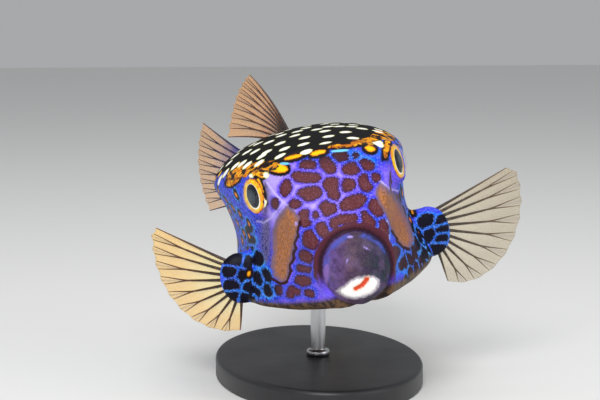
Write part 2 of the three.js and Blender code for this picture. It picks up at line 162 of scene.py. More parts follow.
def carapace_ring(y, steps):
    s = {key: along(key, y) for key in KEYS[1:]}
    rise = s["crown"] - s["ridge_z"]
    wall = s["ridge_z"] - s["vent_z"]
    sink = s["vent_z"] - s["belly"]
    half = [
        (0.34 * s["ridge_x"], s["crown"] - 0.06 * rise),
        (0.66 * s["ridge_x"], s["crown"] - 0.27 * rise),
        (0.89 * s["ridge_x"], s["crown"] - 0.6 * rise),
        (s["ridge_x"], s["ridge_z"]),
        (lerp(s["ridge_x"], s["waist_x"], 0.62), s["ridge_z"] - 0.22 * wall),
        (s["waist_x"], s["ridge_z"] - 0.52 * wall),
        (lerp(s["vent_x"], s["waist_x"], 0.4), s["vent_z"] + 0.2 * wall),
        (s["vent_x"], s["vent_z"]),
        (0.87 * s["vent_x"], s["belly"] + 0.3 * sink),
        (0.5 * s["vent_x"], s["belly"] + 0.04 * sink),
    ]
    outline = [(0, s["crown"])] + half + [(0, s["belly"])] + [(-x, z) for x, z in reversed(half)]
    curve = closed_curve(outline, steps)
    return np.column_stack([curve[:, 0], np.full(len(curve), y), curve[:, 1]])


def loft(rings):
    """Vertices and faces of a closed skin over a row of rings."""
    count = len(rings[0])
    points = np.concatenate(list(rings) + [rings[0].mean(0)[None], rings[-1].mean(0)[None]])
    faces = []
    for r in range(len(rings) - 1):
        for c in range(count):
            a, b = r * count + c, r * count + (c + 1) % count
            faces.append((a, b, b + count, a + count))
    first, last = len(points) - 2, len(points) - 1
    base = (len(rings) - 1) * count
    for c in range(count):
        faces.append((first, (c + 1) % count, c))
        faces.append((last, base + c, base + (c + 1) % count))
    return points, faces


def joined(parts):
    """Several pairs of points and faces as one pair."""
    faces = []
    start = 0
    for points, part_faces in parts:
        faces += [tuple(i + start for i in face) for face in part_faces]
        start += len(points)
    return np.concatenate([points for points, _ in parts]), faces


def ball(centre, radii, columns=64, rows=40, shape=None):
    """An ellipsoid, with poles on y."""
    across, up = circle(columns)
    rings = []
    for polar in math.pi * np.arange(1, rows) / rows:
        r = math.sin(polar)
        rings.append(np.column_stack([r * across, np.full(columns, -math.cos(polar)), r * up]))
    points, faces = loft(rings)
    points[-2] = (0, -1, 0)
    points[-1] = (0, 1, 0)
    if shape:
        points = shape(points)
    return points * np.asarray(radii) + np.asarray(centre), faces


def lathe(profile, centre, axis, columns=72):
    """A closed skin turned about an axis, from (along, radius) pairs between its two poles."""
    axis = np.asarray(axis, float)
    upright = abs(axis[2]) > 0.9
    side_way = unit(np.cross(axis, (0, 1, 0) if upright else (0, 0, 1)))
    up_way = np.cross(side_way, axis)
    cos, sin = circle(columns)
    spokes = np.outer(cos, side_way) + np.outer(sin, up_way)
    points, faces = loft([centre + axis * at + spokes * radius for at, radius in profile[1:-1]])
    points[-2] = centre + axis * profile[0][0]
    points[-1] = centre + axis * profile[-1][0]
    return points, faces


def bezier(path, t):
    a, b, c, d = (np.asarray(p, float) for p in path)
    point = a * (1 - t) ** 3 + 3 * b * t * (1 - t) ** 2 + 3 * c * t ** 2 * (1 - t) + d * t ** 3
    ahead = 3 * (b - a) * (1 - t) ** 2 + 6 * (c - b) * t * (1 - t) + 3 * (d - c) * t ** 2
    return point, unit(ahead)


def cross_axes(ahead):
    across = unit(np.array([ahead[1], -ahead[0], 0]))
    return across, np.cross(across, ahead)


def stalk_rings():
    cos, sin = circle(48)
    rings = []
    for t in np.linspace(0, 1, 40):
        centre, ahead = bezier(STALK_PATH, t)
        across, up = cross_axes(ahead)
        width = lerp(STALK_SIZE["start_width"], STALK_SIZE["end_width"], smooth(t))
        height = lerp(lerp(STALK_SIZE["start_height"], STALK_SIZE["end_height"], t),
                      STALK_SIZE["narrow"], math.sin(math.pi * t))
        rings.append(centre + np.outer(cos * width, across) + np.outer(sin * height, up))
    return rings


def eye_axis(side):
    return unit(np.array([side * math.cos(EYE["forward"]), -math.sin(EYE["forward"]), EYE["up"]]))


def eye_centre(side):
    x, y, z = EYE["centre"]
    return np.array([side * x, y, z])


def orbit_profile():
    """The bony ring round an eye: a ball cut flat in front, with a rounded rim."""
    rim, inside = ORBIT["rim"], ORBIT["cut"] - 0.3
    profile = arc(ORBIT["radius"], math.pi, math.acos(ORBIT["cut"] / ORBIT["radius"]), 30)
    for a in np.linspace(0.2, math.pi, 8):
        profile.append((ORBIT["rim_at"] + rim * math.sin(a), ORBIT["rim_radius"] + rim * math.cos(a)))
    return profile + [(inside, ORBIT["rim_radius"] - rim - 0.2), (inside, 0)]


def squared(points):
    points = points.copy()
    points[:, 0] = np.sign(points[:, 0]) * np.abs(points[:, 0]) ** LOBE["square"]
    return points


def lobe_form(side):
    """Centre and radii of a fin's fleshy root."""
    x, y, z = LOBE["centre"]
    return (side * x, y, z), (LOBE["out"], LOBE["half_thickness"], LOBE["half_height"])


def mesh_object(name, points, faces):
    mesh = bpy.data.meshes.new(name)
    mesh.from_pydata([tuple(p) for p in points], [], [tuple(f) for f in faces])
    mesh.update()
    obj = bpy.data.objects.new(name, mesh)
    bpy.context.scene.collection.objects.link(obj)
    return obj


def applied(obj):
    """The object with its modifiers made part of its mesh."""
    graph = bpy.context.evaluated_depsgraph_get()
    mesh = bpy.data.meshes.new_from_object(obj.evaluated_get(graph))
    old = obj.data
    obj.modifiers.clear()
    obj.data = mesh
    bpy.data.meshes.remove(old)
    return obj


def read_rows(items, key, width, kind=float):
    """One value of every item of a mesh, such as its place, as the rows of an array."""
    flat = np.empty(len(items) * width, kind)
    items.foreach_get(key, flat)
    return flat.reshape(-1, width)


def set_vertices(mesh, points):
    mesh.vertices.foreach_set("co", np.asarray(points, float).ravel())
    mesh.update()


def add_layer(obj, name, values):
    layer = obj.data.attributes.new(name, "FLOAT", "POINT")
    layer.data.foreach_set("value", np.asarray(values, float))


def painted(obj, material):
    for polygon in obj.data.polygons:
        polygon.use_smooth = True
    obj.data.materials.clear()
    obj.data.materials.append(material)


def relaxed(points, edges, rounds, weight):
    """Points moved towards the mean of their neighbours, by one weight or a weight for each point."""
    weight = np.broadcast_to(weight, len(points))[:, None]
    count = np.bincount(edges.ravel(), minlength=len(points)).astype(float)[:, None]
    points = points.copy()
    for _ in range(rounds):
        total = np.zeros_like(points)
        for axis in range(3):
            total[:, axis] = np.bincount(edges[:, 0], points[edges[:, 1], axis], len(points))
            total[:, axis] += np.bincount(edges[:, 1], points[edges[:, 0], axis], len(points))
        points += (total / count - points) * weight
    return points


def make_flesh():
    """Head, snout, box, lobes and stalk as one closed mesh, in the fish's frame."""
    head_ys = np.linspace(HEAD_START, 30, 48)
    box_ys = np.linspace(30.6, CARAPACE_END + 0.6, 130)
    parts = [
        loft([carapace_ring(y, 14) for y in np.concatenate([head_ys, box_ys])]),
        ball(SNOUT["centre"], SNOUT["radii"], 96, 64),
        ball(LIPS["centre"], LIPS["radii"]),
    ]
    for side in SIDES.values():
        parts.append(lathe(orbit_profile(), eye_centre(side), eye_axis(side)))
        parts.append(ball(*lobe_form(side), shape=squared))
    parts.append(loft(stalk_rings()))
    obj = mesh_object("skin", *joined(parts))
    remesh = obj.modifiers.new("Remesh", "REMESH")
    remesh.mode = "VOXEL"
    remesh.voxel_size = VOXEL
    return applied(obj)


# The camera's view of the fish, so that a place in the photograph can be found on the skin
FOCAL = PHOTO[0] / 2 / math.tan(VIEW_ANGLE / 2)


def turned_about_z(a):
    return np.array([[math.cos(a), -math.sin(a), 0], [math.sin(a), math.cos(a), 0], [0, 0, 1]])


def turned_about_x(a):
    return np.array([[1, 0, 0], [0, math.cos(a), -math.sin(a)], [0, math.sin(a), math.cos(a)]])


CAMERA_AXES = turned_about_x(VIEW_DOWN) @ turned_about_z(VIEW_TURN)
FISH_VIEW = CAMERA_AXES @ TURN
CAMERA_PLACE = -FISH_VIEW.T @ FISH_FROM_CAMERA


def seen(points):
    """Where points of the fish lie in the photograph, and the millimetres to a pixel there."""
    q = points @ FISH_VIEW.T + FISH_FROM_CAMERA
    return PHOTO[0] / 2 + FOCAL * q[:, 0] / q[:, 1], PHOTO[1] / 2 - FOCAL * q[:, 2] / q[:, 1], q[:, 1] / FOCAL


def on_skin(tree, u, v):
    """The point of the skin behind a place in the photograph, or None."""
    way = FISH_VIEW.T @ np.array([(u - PHOTO[0] / 2) / FOCAL, 1, (PHOTO[1] / 2 - v) / FOCAL])
    hit = tree.ray_cast(Vector(CAMERA_PLACE), Vector(unit(way)))[0]
    return None if hit is None else np.array(hit)


# Depths of points in a mark: positive inside it, negative outside, and at most FAR either way
FAR = 9.0


def held(depth):
    return np.clip(depth, -FAR, FAR)


def ellipse_depth(x, y, mark):
    cx, cy, rx, ry, tilt = mark
    c, s = math.cos(math.radians(tilt)), math.sin(math.radians(tilt))
    a = (x - cx) * c + (y - cy) * s
    b = (y - cy) * c - (x - cx) * s
    k0 = np.hypot(a / rx, b / ry) + 1e-6
    k1 = np.hypot(a / rx ** 2, b / ry ** 2) + 1e-6
    return k0 * (1 - k0) / k1


def ellipses_depth(x, y, marks):
    return np.max([ellipse_depth(x, y, mark) for mark in marks], axis=0)


def cells_depth(x, y, marks, grow, line):
    """Cells grown until a line of light skin is left between them; marks that overlap are one cell."""
    cells = []
    for mark in marks:
        cx, cy = np.array([mark[0]]), np.array([mark[1]])
        depth = ellipse_depth(x, y, mark)
        for cell in cells:
            if any(ellipse_depth(cx, cy, other)[0] > -2.4 for other in cell[1]):
                cell[0] = np.maximum(cell[0], depth)
                cell[1].append(mark)
                break
        else:
            cells.append([depth, [mark]])
    ranked = np.sort([cell[0] for cell in cells], axis=0)
    return np.minimum(ranked[-1] + grow, (ranked[-1] - ranked[-2]) / 2 - line)


def path_distance(x, y, path):
    best = np.full(len(x), 1e9)
    for (ax, ay), (bx, by) in zip(path[:-1], path[1:]):
        dx, dy = bx - ax, by - ay
        t = np.clip(((x - ax) * dx + (y - ay) * dy) / (dx * dx + dy * dy), 0, 1)
        best = np.minimum(best, np.hypot(x - ax - t * dx, y - ay - t * dy))
    return best


def patch_depth(x, y, outline):
    inside = np.zeros(len(x), bool)
    for (ax, ay), (bx, by) in zip(outline, outline[1:] + outline[:1]):
        crosses = (ay > y) != (by > y)
        where = ax + (y - ay) * (bx - ax) / ((by - ay) or 1e-9)
        inside ^= crosses & (x < where)
    away = path_distance(x, y, outline + outline[:1])
    return np.where(inside, away, -away)


def form_depth(points, centre, radii, power=None):
    """About how far points lie inside an ellipsoid, in millimetres; power makes it squarer in x."""
    q = (points - np.asarray(centre)) / np.asarray(radii)
    if power:
        q[:, 0] = np.sign(q[:, 0]) * np.abs(q[:, 0]) ** (1 / power)
    k0 = np.linalg.norm(q, axis=1) + 1e-6
    k1 = np.linalg.norm(q / np.asarray(radii), axis=1) + 1e-6
    return k0 * (1 - k0) / k1


def lobe_depth(points):
    return np.max([form_depth(points, *lobe_form(side), LOBE["square"]) for side in SIDES.values()], axis=0)


def border_distance(points, edges, inside):
    """Signed distance to the border of a set of vertices, positive inside it."""
    a, b = edges[:, 0], edges[:, 1]
    cut = inside[a] != inside[b]
    border = np.unique(np.concatenate([a[cut], b[cut]]))
    tree = KDTree(len(border))
    for n, i in enumerate(border):
        tree.insert(points[i], n)
    tree.balance()
    away = np.array([tree.find(p)[2] for p in points])
    return np.where(inside, away, -away)


def nearest_two(points, seeds):
    """Distances to the nearest and the second nearest seed."""
    first = np.full(len(points), 99.0)
    second = np.full(len(points), 99.0)
    for seed in seeds:
        d = np.linalg.norm(points - seed, axis=1)
        second = np.where(d < first, first, np.minimum(second, d))
        first = np.minimum(first, d)
    return first, second


def scattered(points, allowed, apart, rng, taken=(), tries=9000):
    """Seeds spread over the allowed points, none nearer than apart to another or to those taken."""
    kept = list(taken)
    where = np.flatnonzero(allowed)
    for i in rng.choice(where, min(tries, len(where)), replace=False):
        p = points[i]
        if not kept or np.min(np.linalg.norm(np.array(kept) - p, axis=1)) >= apart:
            kept.append(p)
    return kept[len(taken):]


# Markings, and a few painted highlights, read from the photograph: centre, half sizes and tilt, in its pixels
# and degrees
FACE_CELLS = [
    (308, 165, 7.5, 4, -2), (326.5, 163, 6.8, 5.5, 10), (330, 168, 5, 5, 30), (342, 156, 9, 3.8, -3),
    (354, 155.5, 4, 2.2, 10), (351.5, 168.5, 8, 5.5, -8), (366, 164.5, 7.5, 4, 20),
    (306, 177, 13.5, 4.8, 4), (286, 188, 4.2, 7.5, 15), (309.5, 193.5, 12, 6, -12), (296, 203, 6, 3.8, -30),
    (332, 184.5, 8.5, 6.5, 0), (334, 192, 5, 8, 0), (347, 185, 7.5, 5.2, -10), (365.5, 183, 5.5, 8, -20),
    (375, 178, 4.5, 3.6, -20), (328, 208.5, 8, 6.8, -10), (353, 202.5, 13, 6, -20),
    (376, 208, 5.5, 8.5, -30), (305, 218.5, 5.8, 8, -5), (315, 215.5, 4.5, 2.6, -30),
    (345, 219.3, 14, 4, -6), (334, 224, 4.5, 3, -30), (368, 221.5, 5.2, 10.5, -35),
    (322, 230, 5.8, 6.8, 10), (383.5, 230, 3.6, 9.5, -8), (310.5, 240, 7, 9.3, -10),
    (306, 257, 5.2, 7, -30), (304, 269, 6.5, 4, 15), (303, 280.5, 7, 5.5, 10), (295, 290.5, 6, 2.8, 20),
    (309, 293, 5, 2.5, 20), (396, 254, 3.4, 6.5, -5), (402.5, 262, 3.2, 7, 20), (393, 268, 2.6, 5, 10),
    (399, 233, 3, 4, -20), (407, 251, 2.6, 5, 10), (324, 250, 3, 8, 15), (318, 268, 2.6, 9, 5),
]
FLANK_CELLS = [
    (257.5, 258.5, 5, 6.5, -20), (258.5, 279, 3.2, 7, -15), (266.5, 275.5, 3.2, 5.8, -25),
    (256, 291, 3.6, 5, -40), (267.5, 290, 3.6, 6, -35), (279, 290.5, 6, 3.4, 30), (289, 294, 5, 2.6, 20),
    (250, 297.5, 5, 3.2, 10), (250.5, 251, 2.6, 5, 0), (249, 229.5, 2.6, 3, 0), (251.5, 240, 2.6, 4, -15),
    (275, 203.5, 2.6, 4.5, 0), (422.5, 235, 2.8, 8, -15), (417, 247, 2.2, 6.5, 10), (423, 256, 2, 6, 25),
    (413, 258, 2, 6, 20), (411, 203, 1.6, 4.5, 0),
]
LOBE_CELLS = [
    (233.5, 260, 8, 4.5, 5), (247.5, 263, 3.6, 4, 20), (230.3, 271, 4.6, 4.2, 20),
    (242.3, 277.5, 3.4, 6.6, 10), (234, 285.3, 7, 4, -10), (246.3, 286, 3.2, 4, 0),
    (232.5, 296.5, 6.5, 4.2, -20), (243, 297.5, 3, 3.6, 0), (427, 221.5, 6.2, 4.2, -15),
    (430.5, 234.5, 3.4, 6, 0), (439.5, 221.5, 4.6, 2.2, -30), (441, 228.5, 4.2, 2.4, -15),
    (440, 238.5, 5, 2.6, -20), (437, 248, 6, 3.6, -10),
]
CRESCENT = [(324.5, 279, 4.6, 16, 10)]
# Painted highlights: small light lilac specks on the snout's dome and one on a tan cheek
PAINTED_HIGHLIGHT_MARKS = [
    (350, 237, 3.2, 1.4, 0), (295.5, 224, 1.8, 2.2, 0), (366, 248, 3, 0.8, 30), (347, 261, 0.9, 2.6, 20),
]
GREY_PATCHES = [(265, 198, 6, 20, 0), (266, 240, 7, 25, 0), (399, 206, 6, 15, -25)]
GOLD_MARKS = [
    (318, 152.6, 8, 2.6, -14), (293, 157, 9.5, 2.1, -14), (277.5, 168, 10.5, 4.8, 8),
    (370, 148.5, 5.5, 3.2, 15), (249, 273.5, 1.7, 3, 10), (412.5, 212, 1, 2.6, -20),
]
RUST_MARKS = [
    (260.5, 190, 1.8, 11, -15), (386.5, 148, 2.6, 11, 8), (233, 180, 8, 4.5, -40),
    (343, 145.8, 14, 1.6, -5), (268, 165.5, 6, 2, 10), (358, 142, 8, 2.2, -10), (252, 170.5, 5, 2.5, 50),
    (260, 173, 5, 3.2, 40),
]
CYAN_MARKS = [(284.5, 163.6, 4.8, 1.3, 0), (340, 150.7, 9, 1.2, -4)]
# White beads, and one painted highlight under an eye at (264, 203)
BEAD_AND_HIGHLIGHT_MARKS = [
    (251, 176, 2.2, 2.8, -15), (266, 175, 3, 3.6, -20), (264, 203, 2.4, 5, 10), (378, 143.5, 4.2, 7, -45),
]

# Lines, outlines and spots read from the photograph, as its pixels
LIGHT_LINES = [
    [(266, 181), (275, 194), (283, 202), (295, 211)],
    [(283, 203), (276, 211), (271, 218), (264, 222.5), (257, 221)],
    [(377, 178), (383, 184), (389, 189), (398, 191)],
    [(387, 221), (389, 240), (391, 256)],
]
DARK_LINES = [
    [(300, 222), (297, 232), (298, 236), (294, 243), (296, 248), (293, 254), (294, 259), (289, 266),
     (291, 271), (287, 280)],
    [(287, 282), (281, 284), (272, 279)],
    [(392, 231), (398, 239), (397, 241), (403, 247), (409, 249)],
]
TAN_PATCHES = [
    [(287, 205), (294, 210), (300, 217), (299, 228), (296, 240), (293, 254), (290, 266), (288, 281),
     (281, 283), (274, 277), (271, 266), (273, 250), (272, 235), (275, 222), (281, 212)],
    [(376, 188), (380, 182), (386, 187), (394, 194), (402, 207), (410, 224), (414, 240), (410, 249),
     (403, 248), (396, 240), (390, 228), (385, 214), (379, 204), (375, 196)],
]
LIP_PATCH = [
    (336, 291), (339, 288), (344, 286), (350, 280), (357, 277), (366, 275.5), (374, 276), (379, 279),
    (380, 284), (377, 290), (371, 295), (363, 298), (354, 299.5), (346, 298), (340, 295),
]
MOUTH_LINE = [(355.5, 289), (360, 286.8), (364, 283.5), (367, 279)]
WHITE_SPOTS = [
    (215, 176), (219.5, 180), (225.5, 173), (235, 166), (242, 163.5), (247, 165), (259, 163), (235, 156),
    (247, 152), (255, 151.5), (261.5, 156.2), (266.5, 152), (280, 156), (258, 143.5), (269, 142),
    (280, 143.3), (284.5, 148.7), (281, 135.5), (295, 135.5), (303.5, 144.2), (304.5, 137.6), (297, 131.5),
    (306, 128), (317, 129.3), (306, 151.5), (325.5, 143), (325, 131), (328.5, 136.3), (328, 126.6),
    (339.5, 126.3), (345.5, 132), (353, 138), (352, 126.5), (362, 128.5), (378, 131.5), (217.5, 198),
]
FLANK_SPOTS = [
    (249, 224), (249, 236), (404, 193), (409, 196), (229, 212), (233, 208), (236, 195), (226, 200),
    (240, 214), (234, 224),
]
FACE_SPAN = (252, 404)

# Where colours, and the painted light and shade round the snout's dome, change across the photograph: the
# pixel at which a change starts, and its width
CHANGES = {
    "dark_cells_above": (168, -12),
    "dark_cells_right": (390, 14),
    "blue_above": (174, -22),
    "blue_right": (352, 20),
    "blue_below": (208, 30),
    # Where the painted shadow, sheen and crease shade round the dome's upper side fade in, going up
    "shadow_band": (294, -24),
    # How the dome's painted shade grows from its left side to its right
    "dome": (322, 60),
}


def change(places, name):
    start, width = CHANGES[name]
    return smooth((places - start) / width)


class Survey:
    """The skin's points: their places in the fish and the photograph, and the forms that they are on."""

    def __init__(self, mesh, points, normals, edges):
        self.points = points
        self.rng = np.random.default_rng(MARK_SEED)
        self.x, self.y, self.z = points.T
        self.u, self.v, self.scale = seen(points)
        to_camera = CAMERA_PLACE - points
        to_camera /= np.linalg.norm(to_camera, axis=1)[:, None]
        self.facing = (normals * to_camera).sum(1)
        self.in_view = (self.facing > 0.02) & (self.y < 50)
        self.frontal = (self.facing > 0.2) & (self.y < 46)
        stations = np.linspace(CARAPACE[0, 0], CARAPACE_END, 300)
        self.ridge_z = np.interp(self.y, stations, [along("ridge_z", y) for y in stations])
        self.vent_z = np.interp(self.y, stations, [along("vent_z", y) for y in stations])
        self.on_lobe = (lobe_depth(points) > -0.35) & (np.abs(self.x) > 20)
        self.on_dome = np.maximum(form_depth(points, **SNOUT), form_depth(points, **LIPS)) > -0.3
        from_eyes = [np.linalg.norm(points - eye_centre(side), axis=1) for side in SIDES.values()]
        on_orbit = np.min(from_eyes, axis=0) < ORBIT["radius"] + 0.25
        self.dome = border_distance(points, edges, self.on_dome)
        self.orbit = border_distance(points, edges, on_orbit)
        self.lobe = border_distance(points, edges, self.on_lobe)
        faces = [tuple(polygon.vertices) for polygon in mesh.polygons]
        self.tree = BVHTree.FromPolygons([Vector(p) for p in points], faces)

    def photo(self, function, drawn, where=True, *more):
        """The depth in a drawn mark, in millimetres, where the photograph shows the skin."""
        depth = function(self.u, self.v, drawn, *more) * self.scale
        return np.where(self.in_view & where, depth, -FAR)

    def lines(self, paths, half_width):
        away = np.min([path_distance(self.u, self.v, path) for path in paths], axis=0) * self.scale
        return np.where(self.in_view, half_width - away, -FAR)

    def places(self, spots):
        """The points of the skin behind spots of the photograph, without those that miss it."""
        return [p for p in (on_skin(self.tree, *spot) for spot in spots) if p is not None]

    def seeds(self, allowed, apart, taken=()):
        return scattered(self.points, allowed, apart, self.rng, taken)

    def dots(self, seeds, radius):
        return radius - nearest_two(self.points, seeds)[0]

    def net(self, allowed, apart, line, reach):
        """The depth in seeded cells, with a line left between them."""
        first, second = nearest_two(self.points, self.seeds(allowed, apart))
        return np.minimum((second - first) / 2 - line, reach - first)


def back_marks(s):
    """The black of the back, bounded by the ridges and a curved front edge, and its white spots; one drawn
    white mark, under an eye, is a painted highlight.
    """
    front_edge = 20.4 + 0.018 * s.x ** 2 + 7e-5 * s.x ** 4
    front_slope = 0.036 * s.x + 2.8e-4 * s.x ** 3
    from_front = (s.y - front_edge) / np.sqrt(1 + front_slope ** 2)
    over_ridge = (s.z - s.ridge_z - 0.7) * 1.25
    over_stalk = (s.z - 27.5) * 1.1
    from_side = lerp(over_ridge, over_stalk, smooth((s.y - 108) / 6))
    back = held(np.minimum(from_front, from_side))

    drawn = [p for p in s.places(WHITE_SPOTS) if p[1] > 19]
    unseen = (s.facing < 0.12) | (s.y > 60)
    further_back = s.seeds((back > 1.7) & (s.y < 112) & unseen, 5.0, drawn)
    on_stalk = s.seeds((back > 1) & (s.y > 108), 3.2, drawn + further_back)
    depths = [s.dots(drawn, 1.72), s.dots(further_back, 1.45), s.dots(on_stalk, 0.9)]
    # One of these drawn white marks, under an eye, is a painted highlight; the others are white spots
    for white_mark in BEAD_AND_HIGHLIGHT_MARKS:
        near_white_mark = s.dots(s.places([white_mark[:2]]), 2.1)
        depths.append(np.minimum(s.photo(ellipses_depth, [white_mark]), near_white_mark))
    return {"back": back, "white": held(np.max(depths, axis=0))}


def flank_spots(s, back):
    """Places of the orange spots: drawn ones, then seeded ones on the flanks and the stalk."""
    spots = s.places(FLANK_SPOTS)
    upper_flank = (s.z > s.vent_z + 6) & (back < -1.8) & (s.y > 34) & ~s.on_lobe & (s.orbit < -2)
    spots += s.seeds(upper_flank & (s.facing < 0.2), 4.9, spots)
    spots += s.seeds((s.y > 106) & (back < -1), 4.2, spots)
    return spots


def edge_marks(s, back, spots):
    """Orange spots, gold along the ridges, rust, and the amber band over the eyes."""
    ridge_gold = s.seeds((np.abs(back + 0.3) < 0.3) & (s.y > 48) & (s.y < 108), 4.6)
    amber = np.minimum(2.7 - np.abs(back - 0.7), np.abs(s.x) - 12.2)
    return {
        "spot": held(s.dots(spots, 0.82)),
        "gold": held(np.maximum(s.photo(ellipses_depth, GOLD_MARKS), s.dots(ridge_gold, 1.25))),
        "rust": s.photo(ellipses_depth, RUST_MARKS),
        "amber": held(np.minimum(amber, (50 - s.y) / 2)),
    }


def cell_mark(s, back, spots):
    """Dark cells: drawn ones on the face, seeded ones elsewhere, and the black rims of the spots."""
    face = s.photo(cells_depth, FACE_CELLS, ~s.on_dome & (s.dome < -1.0), 1.6, 1.5)
    flank = s.photo(cells_depth, FLANK_CELLS, ~s.on_lobe, 1.4, 1.4)
    flank = np.maximum(flank, s.photo(cells_depth, LOBE_CELLS, s.on_lobe, 3.6, 1.15))
    on_face = (s.u > FACE_SPAN[0]) & (s.u < FACE_SPAN[1])
    drawn = s.frontal & (on_face | s.on_lobe) & (s.y < 44)
    low = ~drawn & ~s.on_lobe & (s.dome < -0.5) & (back < -1.5)
    low &= (s.z < s.vent_z + 8 + 0.06 * (s.y - 30)) | (s.y < 34) & (s.orbit < -1.5)
    unseen_lobe = s.on_lobe & ~s.frontal
    cell = np.where(drawn, np.maximum(face, flank), np.where(s.frontal, flank, -FAR))
    cell = np.where(low, np.maximum(cell, s.net(low, 3.5, 0.34, 2.3)), cell)
    cell = np.where(unseen_lobe, s.net(unseen_lobe, 3.3, 0.3, 2.2), cell)
    return held(np.maximum(cell, s.dots(spots, 1.75)))


def ground_marks(s):
    """Shares of the colours of the ground; tone is 0 for lavender, 0.5 for violet and 1 for bright blue."""
    sideways = smooth((np.abs(s.x) + 0.35 * (s.y - 20) - 18.5) / 6)
    dark = np.maximum(0.55 * change(s.v, "dark_cells_above"), 0.75 * change(s.u, "dark_cells_right"))
    tone = 0.13 + 0.40 * change(s.v, "blue_above") + 0.22 * change(s.u, "blue_right")
    tone += 0.24 * change(s.v, "blue_below")
    return {
        "dark": np.maximum(sideways, dark * s.in_view),
        "flank": sideways,
        "tone": lerp(tone, 0.65, sideways) - 0.06 * smooth((s.lobe + 4) / 4),
        "grey": smooth((s.photo(ellipses_depth, GREY_PATCHES) + 0.8) / 2.4),
        "belly": smooth((s.vent_z + 1.5 - s.z) / 1.8) * smooth((s.y - 3) / 3) * ~s.on_lobe,
        # Where the painted shadow, sheen and crease shade round the dome's upper side fall
        "painted_light_share": change(s.v, "shadow_band"),
        # How far the dome's painted shade has grown, from left to right
        "dome_shade_share": change(s.u, "dome"),
    }


def face_marks(s):
    return {
        "tan": np.max([s.photo(patch_depth, patch, s.dome < -1) for patch in TAN_PATCHES], axis=0),
        "light": s.lines(LIGHT_LINES, 0.26),
        "jag": s.lines(DARK_LINES, 0.42),
        "cyan": s.photo(ellipses_depth, CYAN_MARKS),
        "mouth": np.where(s.on_dome, s.lines([MOUTH_LINE], 0.5), -FAR),
        "lips": s.photo(patch_depth, LIP_PATCH, s.on_dome & (s.y < 7)),
        "crescent": s.photo(ellipses_depth, CRESCENT, s.on_dome),
        "painted_highlight": s.photo(ellipses_depth, PAINTED_HIGHLIGHT_MARKS),
    }


def place_marks(s):
    """Every marking of the skin, and where its painted light and shade fall, as a depth or a share, one value
    to a vertex.
    """
    marks = {"dome": s.dome, "orbit": s.orbit, "lobe": s.lobe} | back_marks(s)
    spots = flank_spots(s, marks["back"])
    marks |= edge_marks(s, marks["back"], spots)
    marks["cell"] = cell_mark(s, marks["back"], spots)
    return marks | ground_marks(s) | face_marks(s)


# Ridges and furrows along the edges of marks: the depth in the mark, half width and height of each
EDGE_RELIEF = {
    "dome": (0, 0.7, -0.34),
    "tan": (-0.3, 0.6, 0.16),
    "orbit": (-0.2, 0.6, -0.22),
    "mouth": (-1.1, 0.5, 0.2),
}
GILL = {"y": 36.8, "z": 13.5, "half_length": 6, "curve": 0.0075, "depth": 0.75, "lip": 0.3}
NOSTRIL = {"centre": (14.6, 20.2, 33.4), "radius": 0.95, "rim": 0.42, "depth": 0.6}
PLATES = {"apart": 6.2, "seam": 0.32, "face_depth": 0.03, "box_depth": 0.07}


def shaped(points, normals, marks):
    """The skin's relief: creases, sunken cheeks, mouth, nostrils, gill slits and bony plates."""
    x, y, z = points.T
    push = -0.28 * smooth(marks["tan"] / 1.2)
    push -= 0.25 * np.clip(marks["jag"] + 0.5, 0, 1)
    push -= 0.85 * smooth((marks["mouth"] + 0.5) / 0.8)
    for mark, (at, width, height) in EDGE_RELIEF.items():
        push += height * bell(marks[mark] - at, width)
    up = z - GILL["z"]
    gill = np.hypot(np.maximum(np.abs(up) - GILL["half_length"], 0), y - GILL["y"] + GILL["curve"] * up ** 2)
    slit = GILL["lip"] * bell(gill - 1.1, 0.6) - GILL["depth"] * bell(gill, 0.5)
    push += np.where(np.abs(x) > 14, slit, 0)
    for side in SIDES.values():
        away = np.linalg.norm(points - np.array(NOSTRIL["centre"]) * (side, 1, 1), axis=1)
        push += NOSTRIL["rim"] * bell(away - NOSTRIL["radius"], 0.4) - NOSTRIL["depth"] * bell(away, 0.5)
    bony = (marks["dome"] < -1.5) & (marks["lobe"] < -1) & (y < 110)
    seeds = scattered(points, bony, PLATES["apart"], np.random.default_rng(RELIEF_SEED))
    first, second = nearest_two(points, seeds)
    depth = lerp(PLATES["face_depth"], PLATES["box_depth"], smooth((y - 20) / 14))
    seams = depth * bell((second - first) / 2, PLATES["seam"])
    push -= np.where(bony & (marks["orbit"] < -1), seams, 0)
    return points + normals * push[:, None]


def make_skin():
    skin = make_flesh()
    mesh = skin.data
    edges = read_rows(mesh.edges, "vertices", 2, int)
    flesh = relaxed(read_rows(mesh.vertices, "co", 3), edges, 4, 0.5)
    out = np.abs(flesh[:, 0])
    near_lobe = bell(lobe_depth(flesh), 1.6) * (out < 27.5) * (out > 18)
    near_stalk = bell(flesh[:, 1] - CARAPACE_END, 2.5)
    flesh = relaxed(flesh, edges, 26, 0.5 * np.maximum(near_lobe, near_stalk))
    set_vertices(mesh, flesh)
    normals = read_rows(mesh.vertex_normals, "vector", 3)
    marks = place_marks(Survey(mesh, flesh, normals, edges))
    flesh = relaxed(shaped(flesh, normals, marks), edges, 1, 0.3)
    for name, values in marks.items():
        add_layer(skin, name, values)
    set_vertices(mesh, to_part(flesh))
    painted(skin, skin_paint())
    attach(skin, "root")
    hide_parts("head", "snout", "body", "tail_stalk", "pectoral_base_left", "pectoral_base_right")


def rgb(red, green, blue):
    """A display colour of 0 to 255 as a shader colour."""
    def channel(c):
        c /= 255
        return c / 12.92 if c <= 0.04045 else ((c + 0.055) / 1.055) ** 2.4
    return channel(red), channel(green), channel(blue), 1


